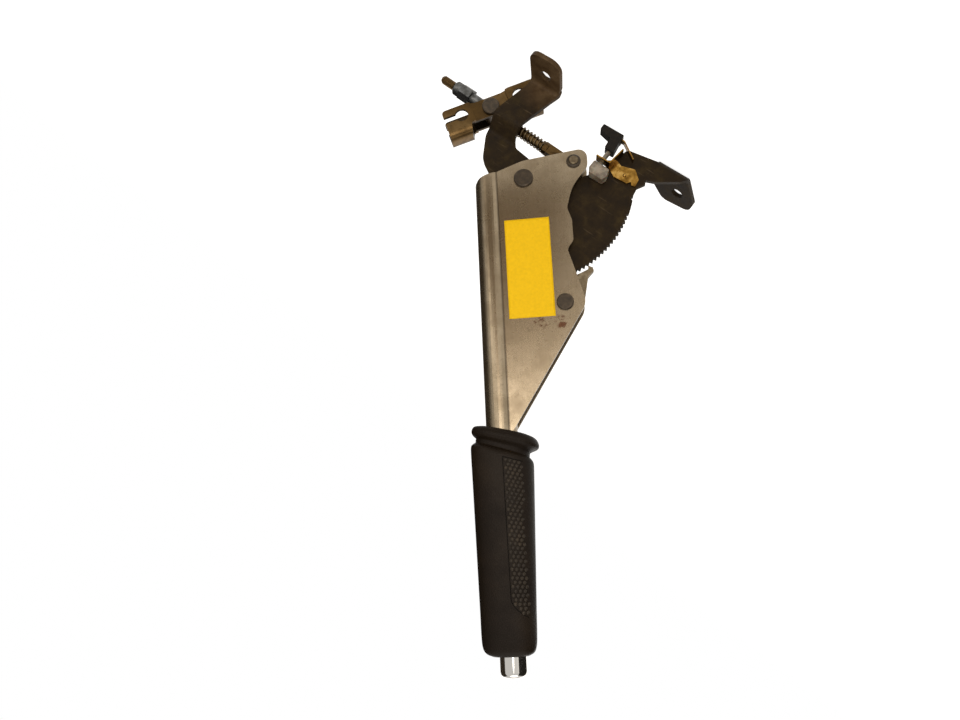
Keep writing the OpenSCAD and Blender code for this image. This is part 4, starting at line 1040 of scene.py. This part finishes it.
world = bpy.data.worlds.new("studio")
scene.world = world
world.use_nodes = True
tree = world.node_tree
tree.nodes.clear()
room = add(tree, "ShaderNodeBackground", {"Color": linear("#f4efe8"), "Strength": 0.36})
backdrop = add(tree, "ShaderNodeBackground", {"Color": (1, 1, 1, 1), "Strength": 1.0})
both = add(tree, "ShaderNodeMixShader",
           {0: seen(tree), 1: room.outputs["Background"], 2: backdrop.outputs["Background"]})
add(tree, "ShaderNodeOutputWorld", {"Surface": both.outputs["Shader"]})
print("stage:", floor.name, world.name)

# %% [markdown]
# ## Lamps and cards
# Places around the set are told from the picture: right, down and towards the viewer, in
# millimetres from the point that the camera looks at. Four soft lamps light the part. Three dull
# cards stand in for the dark room around the photographer: metal mirrors them, and nothing else
# sees them. The low card is on the floor's side of the part, which is the top of the picture.

# %% Lamps and cards
RIGHT = Vector((0.799, 0.0, -0.602))
DOWN = Vector((0.602, 0.0, 0.799))
AIM = Vector((19.85, 0.0, 174.5))


def around(right, down, front):
    """A place on the set in millimetres, told from the picture."""
    return AIM + RIGHT * right + DOWN * down + ACROSS * front


def lamp(name, place, size, power, tint):
    """A soft round lamp that points at the middle of the set."""
    data = bpy.data.lights.new(name, "AREA")
    data.shape = "DISK"
    data.size = size
    data.energy = power
    data.color = linear(tint)[:3]
    obj = bpy.data.objects.new(name, data)
    scene.collection.objects.link(obj)
    spot = around(*place)
    obj.location = spot * MM
    obj.rotation_euler = (AIM - spot).to_track_quat("-Z", "Y").to_euler()


def card(name, code, corners):
    """A dull card beside the set, seen only in reflections."""
    board = bpy.data.materials.new(name)
    board.use_nodes = True
    shader = board.node_tree.nodes["Principled BSDF"]
    shader.inputs["Base Color"].default_value = linear(code)
    shader.inputs["Roughness"].default_value = 0.95
    data = bpy.data.meshes.new(name)
    data.from_pydata([around(*corner) * MM for corner in corners], [], [(0, 1, 2, 3)])
    made = new_object(name, data, board)
    made.visible_camera = made.visible_diffuse = made.visible_shadow = False


card("card_left", "#362e25",
     [(-500, -900, -1400), (-500, 900, -1400), (-500, 900, 150), (-500, -900, 150)])
card("card_right", "#1d1a17",
     [(560, -900, -1400), (560, 900, -1400), (560, 900, 460), (560, -900, 460)])
card("card_low", "#947c5a",
     [(-160, -170, 110), (700, -170, 110), (700, -170, 900), (-160, -170, 900)])
lamp("key", (60, 20, 900), 0.6, 4.1, "#fffaf4")
lamp("fill", (-420, -300, 700), 0.6, 1.4, "#fff8ee")
lamp("back", (100, 500, -800), 0.8, 2.2, "#fffaf2")
lamp("top", (60, 760, 260), 0.6, 2.2, "#fffaf2")
print("lamps:", len(bpy.data.lights))

# %% [markdown]
# ## Camera
# The camera stands where the photographer's did, near the part and with a wide lens, and is
# turned so that the grip is at the bottom of the picture. The Standard view keeps the colours
# of the finishes as they are written.

# %% Camera
EYE = Vector((123.85, 430.0, 231.2))
view = bpy.data.cameras.new("camera")
view.lens = 27.0
view.sensor_width = 36.0
camera = bpy.data.objects.new("camera", view)
scene.collection.objects.link(camera)
back = (EYE - AIM).normalized()
up = (-DOWN + back * DOWN.dot(back)).normalized()
side = up.cross(back).normalized()
looking = Matrix((side, up, back)).transposed()
camera.matrix_world = Matrix.Translation(EYE * MM) @ looking.to_4x4()
scene.camera = camera
scene.view_settings.view_transform = "Standard"
print("camera at", [round(c) for c in EYE], "mm")
